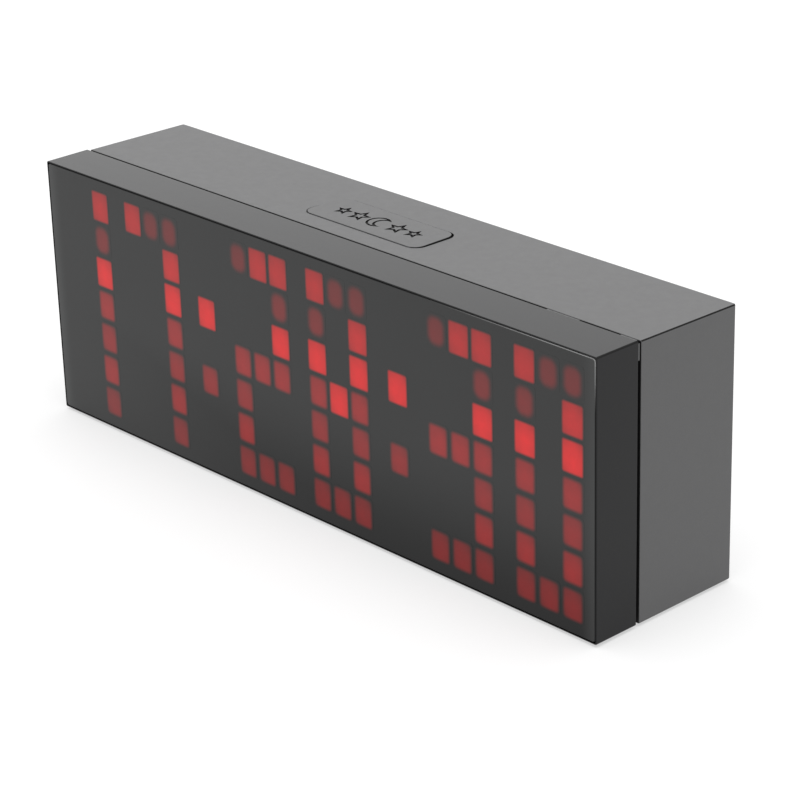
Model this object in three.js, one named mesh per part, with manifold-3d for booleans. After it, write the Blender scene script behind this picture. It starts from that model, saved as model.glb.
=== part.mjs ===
// A dot-matrix LED alarm clock: a smoked front cover over a grid of light wells, and a rear housing
// that carries the boards, the snooze button, the setting buttons and the backup cells.
// Millimetres, +X to the viewer's right, +Y to the back, +Z up. The origin lies on the table under
// the middle of the clock.
import * as THREE from "three";
import { mergeVertices } from "three/addons/utils/BufferGeometryUtils.js";
import Module from "manifold-3d";

const wasm = await Module();
wasm.setup();

// ---- Driving dimensions ----

// Overall
const WIDTH = 214;
const HEIGHT = 76; // of the front cover, without the feet
const DEPTH = 50;

// Clearances
const FIT = 0.3; // between pieces that are put together
const SEAT = 0.05; // under a piece that is soldered, glued or clamped on
const BORE_FIT = 0.15; // round a screw or a plunger in its hole
const OVER = 1; // how far a cutting shape passes the surface that it cuts

// Front cover
const COVER_DEPTH = 14.3;
const COVER_WALL = 2.4;
const FACE_WALL = 2;
const COVER_CORNER = 0.5;
const COVER_EDGE = 0.2;
const COVER_INNER_CORNER = 3;

// Rear housing
const SEAM = 1.25; // the open groove between the cover and the housing
const HOUSING_WALL = 2.2;
const STEP_X = 0.1; // how far the housing stands in from the cover at its sides
const STEP_TOP = 0.37; // and at its top, at the seam; its underside is level with the cover's
const DRAFT_TOP = 0.47; // how much lower its top is at the back than at the seam
const HOUSING_CORNER = 0.4;
const BACK_ROUND = 0.8; // of the back's upright edges
const BACK_EDGE = 0.25; // of its top and bottom edges
const LIP_LENGTH = 2.1; // the housing's lip reaches this far forward of its edge, into the cover
const LIP_WALL = 1.4;
const LIP_ROOT = 3; // the lip's foot inside the housing
const KEY_X = 81.5; // the key that bridges the groove on top
const KEY_WIDTH = 11;
const CORNER_KEY = [6.5, 1.2]; // another key's ends, in from the housing's right side
const SIDE_RIB = { thick: 0.45, height: 4.4, drop: 0.5 }; // a thin rib beside the cover, below that key

// Display: six digits and two colons
const DISPLAY_GROUPS = ["digit", "digit", "colon", "digit", "digit", "colon", "digit", "digit"];
const ROWS = 7;
const DIGIT_COLUMNS = 3;
const COLON_ROWS = [2, 4];
const GROUP_STEP = 1.825; // column pitches from a group's last column to the next one's first
const WEB = 1; // between two wells of a digit
const ROW_WEB = 1.1;
const DISPLAY_MARGIN_X = 2;
const DISPLAY_MARGIN_Z = 1.5;
const DIFFUSER = 0.5;
const BOARD = 1.6; // every circuit board's thickness
const LED_WIDTH = 2.8;
const LED_LENGTH = 3.5;
const LED_HEIGHT = 1.9;
const LED_ROOT = 0.4;

// Screws that hold the cover to the housing
const COVER_BOSS = 5; // diameters
const SCREW_SHANK = 2.5;
const SCREW_HEAD = 5;
const SCREW_HEAD_HEIGHT = 2.2;
const CROSS_LENGTH = 3.4; // the recess in its head
const CROSS_WIDTH = 0.7;
const SCREW_REACH = 7; // into the cover's boss
const SCREW_POST = 8.4;
const POST_FLOOR = 3;
const POST_INSET = 7; // from the inside of the cover's top or bottom wall

// Screws that hold the boards
const SMALL_SHANK = 2;
const SMALL_HEAD = 4;
const SMALL_HEAD_HEIGHT = 1.4;
const SMALL_SCREW = 6; // its length under the head
const PILOT_ROOM = 1; // beyond a small screw's tip
const STANDOFF = 5;

// Snooze button
const SNOOZE_LENGTH = 44;
const SNOOZE_WIDTH = 15;
const SNOOZE_CORNER = 3.2;
const SNOOZE_PROUD = 0.5;
const SNOOZE_BACKSET = 29.7; // its middle, behind the front face
const SNOOZE_FLANGE = 1.3;
const SNOOZE_FLANGE_HEIGHT = 1.2;
const SNOOZE_GAP = 0.45;
const SNOOZE_BOARD_WIDTH = 12;

// Tact switches
const SWITCH_SIZE = 6;
const SWITCH_HEIGHT = 3.5;
const PLUNGER = 3.4;
const PLUNGER_RISE = 1.4; // above the switch's body
const PLUNGER_DEPTH = 1.4; // inside it
const SWITCH_BORE_DEPTH = 2.4;

// Rear controls, in a recess of the back
const CONTROLS_Z = 8;
const RECESS_DEPTH = 1.6;
const RECESS_HEIGHT = 12;
const RECESS_MARGIN = 7;
const RECESS_CORNER = 2;
const BUTTON = 6;
const BUTTON_PITCH = 10;
const FIRST_BUTTON_X = 18;
const BUTTON_SINK = 0.4; // its tip, below the back
const BUTTON_FLANGE = 1.2;
const BUTTON_FLANGE_HEIGHT = 1;
const BUTTON_DOME = 0.5; // its rounded edge
const BUTTON_NAMES = ["time", "alarm", "up", "down", "mode"];

// Alarm slide switch
const SLIDE_TRAVEL = 3;
const SLIDE_BODY = [9.4, 4.6, 3.6]; // length, height, thickness
const KNOB = [3.2, 3];
const KNOB_SINK = 0.6;
const GRIP_GROOVE = [0.5, 0.4]; // width and depth
const STEM = [2.4, 1.6];
const STEM_DEPTH = 1.4;

// Main board
const BOARD_START = 8; // its left edge, from the middle of the clock
const BOARD_TOP = 16; // above the middle
const BOARD_SIDE_GAP = 2.5;
const BOARD_POST_GAP = 2.4;
const STANDOFF_INSET = 4;

// Parts on the main board
const CHIP_SIZE = 10;
const CHIP_HEIGHT = 1.6;
const CRYSTAL = [3, 8]; // diameter and length
const BUZZER = 12;
const BUZZER_X = 42;
const BUZZER_PORT = [2, 1.5]; // diameter and depth
const COLLAR_WALL = 1; // the collar that centres it
const COLLAR_HEIGHT = 1.2;
const SOUND_HOLE = 1.8;
const SOUND_RING = 3.4; // radius of the ring of sound holes round the middle one
const SOUND_HOLES = 6; // in the ring
const JACK_SIZE = 9;
const JACK_NOSE = 7.4;
const JACK_BORE = 5.9;
const JACK_PIN = 2;
const JACK_PIN_ROOT = 0.5; // into the body
const JACK_PIN_SINK = 1; // its tip, below the nose
const JACK_BORE_DEPTH = 8.5;
const JACK_SINK = 0.5;
const JACK_INSET = 12; // its middle, from the board's right edge
const JACK_RISE = 9; // and above the board's bottom edge

// Backup cells and their compartment
const CELL = 10.4; // diameter
const CELL_LENGTH = 43.6;
const CELL_NUB = [3.6, 0.9]; // diameter and height
const CELL_EDGE = 0.5; // bevel round each end
const CELL_COUNT = 3;
const CELL_GAP = 1;
const SPRING_ROOM = 5.2;
const CONTACT = 0.5;
const CONTACT_SIZE = 8;
const SPRING_WIRE = 0.6;
const SPRING_TURNS = 2.5;
const SPRING_RADII = [3.2, 1.76]; // at its plate and at its tip
const DIMPLE = { base: 1.5, tip: 1, height: 0.5, root: 0.1 }; // radii, height and depth in its plate
const TRAY_X = -38;
const TRAY_Z = -4;
const TRAY_WALL = 1.5;
const TRAY_CORNER = 1;
const DOOR = 1.6;
const DOOR_SINK = 0.3;
const DOOR_LEDGE = 1.8;
const DOOR_ROOM = 0.5; // between the cells and the door
const DOOR_ROOT = 0.5; // how far the hooks and the rib are rooted in the door's plate
const LATCH_RIB = { length: 16, height: 2, width: 0.7 };
const NAIL_SLOT = { length: 12, width: 2, depth: 0.7, inset: 3 };
const HOOK_WIDTH = 6;
const HOOK_SPREAD = 32;
const HOOK_REACH = 1.5;
const HOOK_THICK = 1.5;

// Feet
const FOOT = 9; // diameter
const FOOT_HEIGHT = 0.8; // below the cover
const FOOT_TAPER = 0.3;
const FOOT_SINK = 1.4; // in the cover's pocket
const FOOT_INSET_X = 16;
const FRONT_FOOT_DEPTH = 7.2;
const BACK_FOOT_INSET = 8;

// Ribbon cable between the LED board and the main board
const RIBBON_WIDTH = 12;
const RIBBON_THICK = 0.9;
const CONNECTOR = [14, 5, 3.6]; // length, height, thickness
const RIBBON_X = 24;
const RIBBON_RISE = 9;

// ---- Places that several pieces share, in the clock's own frame: its middle is 0, 0, 0 ----

const front = (depth) => depth - DEPTH / 2; // y at this depth behind the front face
const back = (inset) => DEPTH / 2 - inset; // y at this distance in from the back

const HALF_WIDTH = WIDTH / 2;
const HALF_HEIGHT = HEIGHT / 2;
const COVER_IN_X = HALF_WIDTH - COVER_WALL;
const COVER_IN_Z = HALF_HEIGHT - COVER_WALL;
const HOUSING_FRONT = COVER_DEPTH + SEAM;
const LIP_FRONT = HOUSING_FRONT - LIP_LENGTH;

// How far through its length the housing is at this depth, from 0 at the seam to 1 at the back.
const along = (depth) => (depth - HOUSING_FRONT) / (DEPTH - HOUSING_FRONT);
const housingTop = (depth) => HALF_HEIGHT - STEP_TOP - DRAFT_TOP * along(depth);
const HOUSING_X = HALF_WIDTH - STEP_X;

const DISPLAY_WIDTH = 2 * (COVER_IN_X - DISPLAY_MARGIN_X) + WEB;
const columnCount = (group) => (group === "colon" ? 1 : DIGIT_COLUMNS);
const STEPS_IN_GROUPS = DISPLAY_GROUPS.reduce((sum, group) => sum + columnCount(group) - 1, 0);
const STEPS_BETWEEN = (DISPLAY_GROUPS.length - 1) * GROUP_STEP;
const COLUMN_PITCH = DISPLAY_WIDTH / (STEPS_IN_GROUPS + STEPS_BETWEEN + 1);
const ROW_PITCH = (2 * (COVER_IN_Z - DISPLAY_MARGIN_Z) + ROW_WEB) / ROWS;
const CELL_WIDTH = COLUMN_PITCH - WEB;
const CELL_HEIGHT = ROW_PITCH - ROW_WEB;

const DIFFUSER_FRONT = FACE_WALL + FIT;
const GRID_FRONT = DIFFUSER_FRONT + DIFFUSER + FIT;
const LED_BOARD_BACK = LIP_FRONT - FIT;
const LED_BOARD_FRONT = LED_BOARD_BACK - BOARD;
const GRID_BACK = LED_BOARD_FRONT - FIT;

const SCREW_Z = COVER_IN_Z - POST_INSET;
const BOSS_END = LED_BOARD_BACK + FIT / 2;
const POST_FRONT = BOSS_END + FIT;
const HEAD_SEAT = POST_FRONT + POST_FLOOR;

const PLATE_BACK = RECESS_DEPTH + HOUSING_WALL; // the recess's inner face, in from the back
const BUTTON_BOTTOM = PLATE_BACK + FIT + BUTTON_FLANGE_HEIGHT;
const MAIN_BOARD_BACK = BUTTON_BOTTOM + SEAT + PLUNGER_RISE + SWITCH_HEIGHT + SEAT;
const MAIN_BOARD_FRONT = MAIN_BOARD_BACK + BOARD;

const buttonX = (index) => FIRST_BUTTON_X + index * BUTTON_PITCH;
const SLIDER_X = buttonX(BUTTON_NAMES.length) + SLIDE_TRAVEL / 2;
const BOARD_END = HOUSING_X - HOUSING_WALL - BOARD_SIDE_GAP;
const BOARD_BOTTOM = SCREW_POST / 2 + BOARD_POST_GAP - SCREW_Z;
const JACK_X = BOARD_END - JACK_INSET;
const JACK_Z = BOARD_BOTTOM + JACK_RISE;
const BUZZER_Z = BOARD_BOTTOM + BUZZER / 2;
const CHIP_Z = (BOARD_TOP + BOARD_BOTTOM) / 2;
const BOARD_BACK_FACE = back(MAIN_BOARD_BACK); // as y
const STANDOFFS = [BOARD_START + STANDOFF_INSET, BOARD_END - STANDOFF_INSET].flatMap((x) =>
  [BOARD_BOTTOM + STANDOFF_INSET, BOARD_TOP - STANDOFF_INSET].map((z) => ({ x, z })),
);
const CONNECTOR_FRONT = front(LED_BOARD_BACK) + SEAT; // as y
const CONNECTOR_BACK = back(MAIN_BOARD_FRONT) - SEAT;
const RIBBON_Z = (BOARD_TOP + CHIP_Z) / 2;

const TRAY_LENGTH = CELL_LENGTH + CELL_NUB[1] + SPRING_ROOM + 2 * CONTACT + 3 * FIT;
const TRAY_HEIGHT = CELL_COUNT * CELL + (CELL_COUNT + 1) * CELL_GAP;
const TRAY_FLOOR = DOOR_SINK + DOOR + DOOR_ROOM + CELL + FIT; // in from the back
const DOOR_SEAT = DOOR_SINK + DOOR + SEAT;
const CELL_INSET = DOOR_SINK + DOOR + DOOR_ROOM + CELL / 2;

const DOOR_BOTTOM = TRAY_Z - TRAY_HEIGHT / 2 - DOOR_LEDGE + FIT;
const HOOKS_X = [-1, 1].map((side) => TRAY_X + (side * HOOK_SPREAD) / 2);

const FOOT_TOP = FOOT_SINK - HALF_HEIGHT;

// Underside of the housing's top wall, at the back of the snooze button's flange.
const WALL_UNDERSIDE = housingTop(SNOOZE_BACKSET + SNOOZE_WIDTH / 2 + SNOOZE_FLANGE) - HOUSING_WALL;
const SNOOZE_TOP = housingTop(SNOOZE_BACKSET) + SNOOZE_PROUD;
const SNOOZE_BOTTOM = WALL_UNDERSIDE - FIT - SNOOZE_FLANGE_HEIGHT;
const SNOOZE_BOARD_TOP = SNOOZE_BOTTOM - SEAT - PLUNGER_RISE - SWITCH_HEIGHT - SEAT;
const SNOOZE_BOSS_X = SNOOZE_LENGTH / 2 + SNOOZE_FLANGE + STANDOFF / 2 + 2 * FIT;

const RECESS_LEFT = buttonX(0) - RECESS_MARGIN;
const RECESS_RIGHT = SLIDER_X + RECESS_MARGIN;
const KNOB_SLOT = KNOB[0] + SLIDE_TRAVEL + 2 * FIT;

// A turn that points a piece's own +Z to the back, and one that points it to the front.
const TO_BACK = [-Math.PI / 2, 0, 0];
const TO_FRONT = [Math.PI / 2, 0, 0];

// The middle of each column, from left to right, and whether it is a colon's.
function displayColumns() {
  const columns = [];
  let x = CELL_WIDTH / 2 - (DISPLAY_WIDTH - WEB) / 2;
  for (const group of DISPLAY_GROUPS) {
    for (let i = 0; i < columnCount(group); i++) {
      columns.push({ x: x + i * COLUMN_PITCH, colon: group === "colon" });
    }
    x += (columnCount(group) - 1 + GROUP_STEP) * COLUMN_PITCH;
  }
  return columns;
}

const COLUMNS = displayColumns();
const rowZ = (row) => ((ROWS - 1) / 2 - row) * ROW_PITCH;
const WELLS = COLUMNS.flatMap(({ x, colon }) =>
  (colon ? COLON_ROWS : [...Array(ROWS).keys()]).map((row) => ({ x, z: rowZ(row) })),
);

// The screws pass between the first two digits and between the last two.
const SCREW_X = (COLUMNS.at(-DIGIT_COLUMNS).x + COLUMNS.at(-DIGIT_COLUMNS - 1).x) / 2;
const SCREWS = [-1, 1].flatMap((sx) => [-1, 1].map((sz) => ({ x: sx * SCREW_X, z: sz * SCREW_Z })));

// ---- Materials ----

function material(color, roughness, metalness = 0) {
  return new THREE.MeshStandardMaterial({ color, roughness, metalness });
}

const smoked = material(0x2a2a2b, 0.3);
const darkPlastic = material(0x4a4a4b, 0.5);
const blackPlastic = material(0x161616, 0.55);
const milky = material(0xd8d8d4, 0.7);
const boardGreen = material(0x1d5a34, 0.5);
const chipBlack = material(0x121212, 0.45);
const steel = material(0xb4b6b8, 0.3, 1);
const nickel = material(0xc8c6be, 0.28, 1);
const rubber = material(0x1b1b1b, 0.9);
const cellJacket = material(0x3b5f7d, 0.4);
const ribbonGrey = material(0x9a9a9c, 0.6);

// ---- Shape helpers ----

function toSolid(geometry) {
  const bare = geometry.clone();
  bare.deleteAttribute("normal");
  bare.deleteAttribute("uv");
  const merged = mergeVertices(bare, 1e-4);
  return new wasm.Manifold(
    new wasm.Mesh({
      numProp: 3,
      vertProperties: merged.attributes.position.array,
      triVerts: new Uint32Array(merged.index.array),
    }),
  );
}

function toGeometry(solid) {
  const mesh = solid.getMesh();
  const geometry = new THREE.BufferGeometry();
  geometry.setAttribute("position", new THREE.BufferAttribute(mesh.vertProperties, 3));
  geometry.setIndex(new THREE.BufferAttribute(mesh.triVerts, 1));
  const flat = geometry.toNonIndexed();
  flat.computeVertexNormals();
  return flat;
}

const join = (first, ...others) => others.reduce((whole, piece) => whole.add(piece), first);
const cut = (first, ...others) => others.reduce((rest, piece) => rest.subtract(piece), first);

// A box between two corners.
function box([x0, y0, z0], [x1, y1, z1]) {
  const geometry = new THREE.BoxGeometry(x1 - x0, y1 - y0, z1 - z0);
  return toSolid(geometry.translate((x0 + x1) / 2, (y0 + y1) / 2, (z0 + z1) / 2));
}

// How many sides round things have: thin ones, posts, and wide ones.
const FEW_SIDES = 12;
const SIDES = 16;
const MANY_SIDES = 20;

// A round rod along Y, from y0 to y1.
function rodY(x, z, diameter, y0, y1, sides = SIDES) {
  const geometry = new THREE.CylinderGeometry(diameter / 2, diameter / 2, y1 - y0, sides);
  return toSolid(geometry.translate(x, (y0 + y1) / 2, z));
}

// A round rod along Z, from z0 to z1.
function rodZ(x, y, diameter, z0, z1, sides = SIDES) {
  const geometry = new THREE.CylinderGeometry(diameter / 2, diameter / 2, z1 - z0, sides);
  return toSolid(geometry.rotateX(Math.PI / 2).translate(x, y, (z0 + z1) / 2));
}

function roundedRectangle(halfWidth, halfHeight, radius) {
  const shape = new THREE.Shape();
  shape.moveTo(halfWidth, radius - halfHeight);
  shape.absarc(halfWidth - radius, halfHeight - radius, radius, 0, Math.PI / 2);
  shape.absarc(radius - halfWidth, halfHeight - radius, radius, Math.PI / 2, Math.PI);
  shape.absarc(radius - halfWidth, radius - halfHeight, radius, Math.PI, 1.5 * Math.PI);
  shape.absarc(halfWidth - radius, radius - halfHeight, radius, 1.5 * Math.PI, 2 * Math.PI);
  return shape;
}

// A shape drawn in X and Y, drawn out along Z from z0 to z1.
function drawnAlongZ(shape, z0, z1) {
  const options = { depth: z1 - z0, bevelEnabled: false, curveSegments: 3 };
  return new THREE.ExtrudeGeometry(shape, options).translate(0, 0, z0);
}

// A closed body through rounded rectangles at growing y. Each has half sizes x and z, its corners'
// radius and the height of its middle.
function loft(sections, cornerSteps = 3) {
  const points = [];
  for (const { y, x, z, radius, middle = 0 } of sections) {
    for (let corner = 0; corner < 4; corner++) {
      const signX = corner === 0 || corner === 3 ? 1 : -1;
      const signZ = corner < 2 ? 1 : -1;
      for (let step = 0; step <= cornerSteps; step++) {
        const angle = ((corner + step / cornerSteps) * Math.PI) / 2;
        const px = signX * (x - radius) + radius * Math.cos(angle);
        const pz = middle + signZ * (z - radius) + radius * Math.sin(angle);
        points.push(px, y, pz);
      }
    }
  }
  const count = 4 * (cornerSteps + 1);
  const last = (sections.length - 1) * count;
  const index = [];
  for (let ring = 0; ring < last; ring += count) {
    for (let i = 0; i < count; i++) {
      const next = (i + 1) % count;
      const [a, b, c, d] = [ring + i, ring + count + i, ring + count + next, ring + next];
      index.push(a, b, c, a, c, d);
    }
  }
  for (let i = 1; i < count - 1; i++) {
    index.push(0, i, i + 1);
    index.push(last, last + i + 1, last + i);
  }
  const geometry = new THREE.BufferGeometry();
  geometry.setAttribute("position", new THREE.Float32BufferAttribute(points, 3));
  geometry.setIndex(index);
  return toSolid(geometry);
}

// A rounded block along Y, of constant section.
function block(x, z, radius, y0, y1, cornerSteps = 3) {
  const section = { x, z, radius };
  return loft([{ y: y0, ...section }, { y: y1, ...section }], cornerSteps);
}

// A body turned about its own Y axis, through [radius, y] points that start and end on the axis.
function turned(profile, sides) {
  const points = profile.map(([radius, y]) => new THREE.Vector2(radius, y));
  return new THREE.LatheGeometry(points, sides);
}

// ---- The scene graph ----

const alarmClock = new THREE.Group();
const clock = new THREE.Group(); // its origin is the middle of the clock
clock.position.z = FOOT_HEIGHT + HALF_HEIGHT;
alarmClock.add(clock);

function place(parent, name, shape, look, position = [0, 0, 0], rotation = [0, 0, 0]) {
  const geometry = shape instanceof THREE.BufferGeometry ? shape : toGeometry(shape);
  const mesh = new THREE.Mesh(geometry, look);
  mesh.name = name;
  mesh.position.set(...position);
  mesh.rotation.set(...rotation);
  parent.add(mesh);
}

// ---- Front cover ----

function frontCover() {
  const section = (depth, inset) => ({
    y: front(depth),
    x: HALF_WIDTH - inset,
    z: HALF_HEIGHT - inset,
    radius: COVER_CORNER - inset,
  });
  const shell = loft([section(0, COVER_EDGE), section(COVER_EDGE, 0), section(COVER_DEPTH, 0)]);
  const [hollowStart, hollowEnd] = [front(FACE_WALL), front(COVER_DEPTH + OVER)];
  const hollow = block(COVER_IN_X, COVER_IN_Z, COVER_INNER_CORNER, hollowStart, hollowEnd);
  const bosses = SCREWS.map(({ x, z }) => rodY(x, z, COVER_BOSS, front(FACE_WALL / 2), front(BOSS_END)));
  const holeStart = front(POST_FRONT - SCREW_REACH - OVER);
  const holes = SCREWS.map(({ x, z }) =>
    rodY(x, z, SCREW_SHANK + 2 * BORE_FIT, holeStart, front(COVER_DEPTH), FEW_SIDES),
  );
  return cut(join(cut(shell, hollow), ...bosses), ...footPockets(front(FRONT_FOOT_DEPTH)), ...holes);
}

// The pockets of a row of feet, one towards each end.
function footPockets(y) {
  const top = FOOT_TOP + FIT / 2;
  return [-1, 1].map((side) =>
    rodZ(side * (HALF_WIDTH - FOOT_INSET_X), y, FOOT + 2 * FIT, -HALF_HEIGHT - OVER, top, MANY_SIDES),
  );
}

// ---- Display stack ----

// A sheet that fills the cover from one depth to another, with a hole for each of its bosses.
function coverSheet(from, to) {
  const sheet = block(COVER_IN_X - FIT, COVER_IN_Z - FIT, COVER_INNER_CORNER, front(from), front(to));
  const [start, end] = [front(from - OVER), front(to + OVER)];
  return cut(sheet, ...SCREWS.map(({ x, z }) => rodY(x, z, COVER_BOSS + 2 * FIT, start, end)));
}

function pixelGrid() {
  const wells = WELLS.map(({ x, z }) =>
    box(
      [x - CELL_WIDTH / 2, front(GRID_FRONT - OVER), z - CELL_HEIGHT / 2],
      [x + CELL_WIDTH / 2, front(GRID_BACK + OVER), z + CELL_HEIGHT / 2],
    ),
  );
  return cut(coverSheet(GRID_FRONT, GRID_BACK), ...wells);
}

// The board and the packages soldered to its front, each rooted a little way into it.
function ledBoard() {
  const leds = WELLS.map(({ x, z }) =>
    box(
      [x - LED_WIDTH / 2, front(LED_BOARD_FRONT - LED_HEIGHT), z - LED_LENGTH / 2],
      [x + LED_WIDTH / 2, front(LED_BOARD_FRONT + LED_ROOT), z + LED_LENGTH / 2],
    ),
  );
  return join(coverSheet(LED_BOARD_FRONT, LED_BOARD_BACK), ...leds);
}

// ---- Rear housing ----

// The housing's outline as it is at a depth, drawn in by an inset, for a loft's section at y.
function housingSection(depth, inset, y = front(depth)) {
  const top = housingTop(depth) - inset;
  const bottom = inset - HALF_HEIGHT;
  const [z, middle] = [(top - bottom) / 2, (top + bottom) / 2];
  return { y, x: HOUSING_X - inset, z, middle, radius: HOUSING_CORNER };
}

// The housing narrows round its upright back edges, and a little over its top and bottom ones.
function housingOuter() {
  const sections = [housingSection(HOUSING_FRONT, 0)];
  for (const turn of [0, 22.5, 45, 67.5, 90]) {
    const angle = (turn * Math.PI) / 180;
    const depth = DEPTH - BACK_ROUND * (1 - Math.sin(angle));
    const drawnIn = 1 - Math.cos(angle);
    const x = HOUSING_X - BACK_ROUND * drawnIn;
    sections.push({ ...housingSection(depth, BACK_EDGE * drawnIn ** 2), x });
  }
  return loft(sections);
}

function housingHollow() {
  const ends = [HOUSING_FRONT - OVER, DEPTH - HOUSING_WALL];
  return loft(ends.map((depth) => housingSection(depth, HOUSING_WALL)));
}

// The lip that reaches into the cover, with the rib inside the housing that it grows from.
function housingLip() {
  const [lipX, lipZ] = [COVER_IN_X - FIT, COVER_IN_Z - FIT];
  const rootDepth = HOUSING_FRONT + LIP_ROOT;
  const lip = block(lipX, lipZ, COVER_INNER_CORNER, front(LIP_FRONT), front(rootDepth));
  const root = loft([
    housingSection(rootDepth, HOUSING_WALL / 2, front(HOUSING_FRONT)),
    housingSection(rootDepth, HOUSING_WALL / 2),
  ]);
  const [y0, y1] = [front(LIP_FRONT - OVER), front(rootDepth + OVER)];
  const inside = block(lipX - LIP_WALL, lipZ - LIP_WALL, COVER_INNER_CORNER - LIP_WALL, y0, y1);
  return cut(join(lip, root), inside);
}

// What stands in the groove: a key on top, a key in the top right corner and a rib down the right side.
function seamKeys() {
  const [y0, y1] = [front(COVER_DEPTH + FIT), front(HOUSING_FRONT + HOUSING_WALL / 2)];
  const topZ = housingTop(HOUSING_FRONT);
  const [floorX, floorZ] = [COVER_IN_X - FIT - LIP_WALL / 2, COVER_IN_Z - FIT - LIP_WALL / 2];
  const spans = [
    [KEY_X - KEY_WIDTH / 2, KEY_X + KEY_WIDTH / 2],
    CORNER_KEY.map((inset) => HOUSING_X - inset),
  ];
  const keys = spans.map(([x0, x1]) => box([x0, y0, floorZ], [x1, y1, topZ - FIT / 2]));
  const { thick, height, drop } = SIDE_RIB;
  const rib = box([floorX, y0, topZ - drop - height], [HOUSING_X - FIT / 2, y0 + thick, topZ - drop]);
  return [...keys, rib];
}

function snoozeOutline(grow) {
  return roundedRectangle(SNOOZE_LENGTH / 2 + grow, SNOOZE_WIDTH / 2 + grow, SNOOZE_CORNER + grow);
}

// A block centred on a point of the back, from one distance in from the back to another.
function backBlock(x, z, halfX, halfZ, radius, from, to) {
  return block(halfX, halfZ, radius, back(from), back(to)).translate([x, 0, z]);
}

function controlRecess(from, to, grow) {
  const middle = (RECESS_LEFT + RECESS_RIGHT) / 2;
  const half = (RECESS_RIGHT - RECESS_LEFT) / 2;
  return backBlock(middle, CONTROLS_Z, half + grow, RECESS_HEIGHT / 2 + grow, RECESS_CORNER, from, to);
}

function controlHoles() {
  const holes = BUTTON_NAMES.map((_, i) =>
    rodY(buttonX(i), CONTROLS_Z, BUTTON + 2 * FIT, back(PLATE_BACK + OVER), back(0), MANY_SIDES),
  );
  const middle = SLIDER_X - SLIDE_TRAVEL / 2;
  const slot = box(
    [middle - KNOB_SLOT / 2, back(PLATE_BACK + OVER), CONTROLS_Z - KNOB[1] / 2 - FIT],
    [middle + KNOB_SLOT / 2, back(0), CONTROLS_Z + KNOB[1] / 2 + FIT],
  );
  return [...holes, slot];
}

function soundHoles() {
  const places = [[0, 0]];
  for (let i = 0; i < SOUND_HOLES; i++) {
    const angle = (2 * Math.PI * i) / SOUND_HOLES;
    places.push([SOUND_RING * Math.cos(angle), SOUND_RING * Math.sin(angle)]);
  }
  return places.map(([x, z]) =>
    rodY(BUZZER_X + x, BUZZER_Z + z, SOUND_HOLE, back(HOUSING_WALL + OVER), back(-OVER), FEW_SIDES),
  );
}

// The posts and standoffs are rooted half way into the housing's wall.
function housingPosts() {
  const root = HOUSING_WALL / 2;
  const posts = SCREWS.map(({ x, z }) => rodY(x, z, SCREW_POST, front(POST_FRONT), back(root)));
  const standoffs = STANDOFFS.map(({ x, z }) =>
    rodY(x, z, STANDOFF, back(MAIN_BOARD_BACK - SEAT), back(root), FEW_SIDES),
  );
  const [bossStart, bossEnd] = [SNOOZE_BOARD_TOP + SEAT, WALL_UNDERSIDE + root];
  const snoozeBosses = [-1, 1].map((side) =>
    rodZ(side * SNOOZE_BOSS_X, front(SNOOZE_BACKSET), STANDOFF, bossStart, bossEnd, FEW_SIDES),
  );
  return [...posts, ...standoffs, ...snoozeBosses];
}

function housingScrewHoles() {
  const wells = SCREWS.map(({ x, z }) => rodY(x, z, SCREW_HEAD + 2 * FIT, front(HEAD_SEAT), back(-OVER)));
  const passages = SCREWS.map(({ x, z }) =>
    rodY(x, z, SCREW_SHANK + 2 * FIT, front(POST_FRONT - OVER), front(HEAD_SEAT + OVER), FEW_SIDES),
  );
  const reach = SMALL_SCREW - BOARD + PILOT_ROOM;
  const pilots = STANDOFFS.map(({ x, z }) =>
    rodY(x, z, SMALL_SHANK + 2 * BORE_FIT, back(MAIN_BOARD_BACK), back(MAIN_BOARD_BACK - reach), FEW_SIDES),
  );
  const snoozePilots = [-1, 1].map((side) => {
    const [x, y] = [side * SNOOZE_BOSS_X, front(SNOOZE_BACKSET)];
    return rodZ(x, y, SMALL_SHANK + 2 * BORE_FIT, SNOOZE_BOARD_TOP, SNOOZE_BOARD_TOP + reach, FEW_SIDES);
  });
  return [...wells, ...passages, ...pilots, ...snoozePilots];
}

// Battery tray: its walls, and the hollow with the ledge that the door lies on.
function trayBody() {
  const grow = DOOR_LEDGE + TRAY_WALL;
  const [halfX, halfZ] = [TRAY_LENGTH / 2 + grow, TRAY_HEIGHT / 2 + grow];
  return backBlock(TRAY_X, TRAY_Z, halfX, halfZ, TRAY_CORNER, TRAY_FLOOR + TRAY_WALL, HOUSING_WALL / 2);
}

function trayHollows() {
  const [halfX, halfZ] = [TRAY_LENGTH / 2, TRAY_HEIGHT / 2];
  const hollow = backBlock(TRAY_X, TRAY_Z, halfX, halfZ, TRAY_CORNER / 2, TRAY_FLOOR, -OVER);
  const seat = doorOutline(FIT, DOOR_SEAT, -OVER);
  const inner = back(HOUSING_WALL + HOOK_THICK + 3 * FIT);
  const top = TRAY_Z - TRAY_HEIGHT / 2 + OVER;
  const lowest = DOOR_BOTTOM - DOOR_LEDGE - TRAY_WALL;
  const notches = HOOKS_X.flatMap((x) => {
    const [x0, x1] = [x - HOOK_WIDTH / 2 - FIT, x + HOOK_WIDTH / 2 + FIT];
    const underWall = box([x0, inner, lowest], [x1, back(HOUSING_WALL), top]);
    const throughLedge = box([x0, inner, DOOR_BOTTOM], [x1, back(DOOR_SINK), top]);
    return [underWall, throughLedge];
  });
  return [hollow, seat, ...notches];
}

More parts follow.
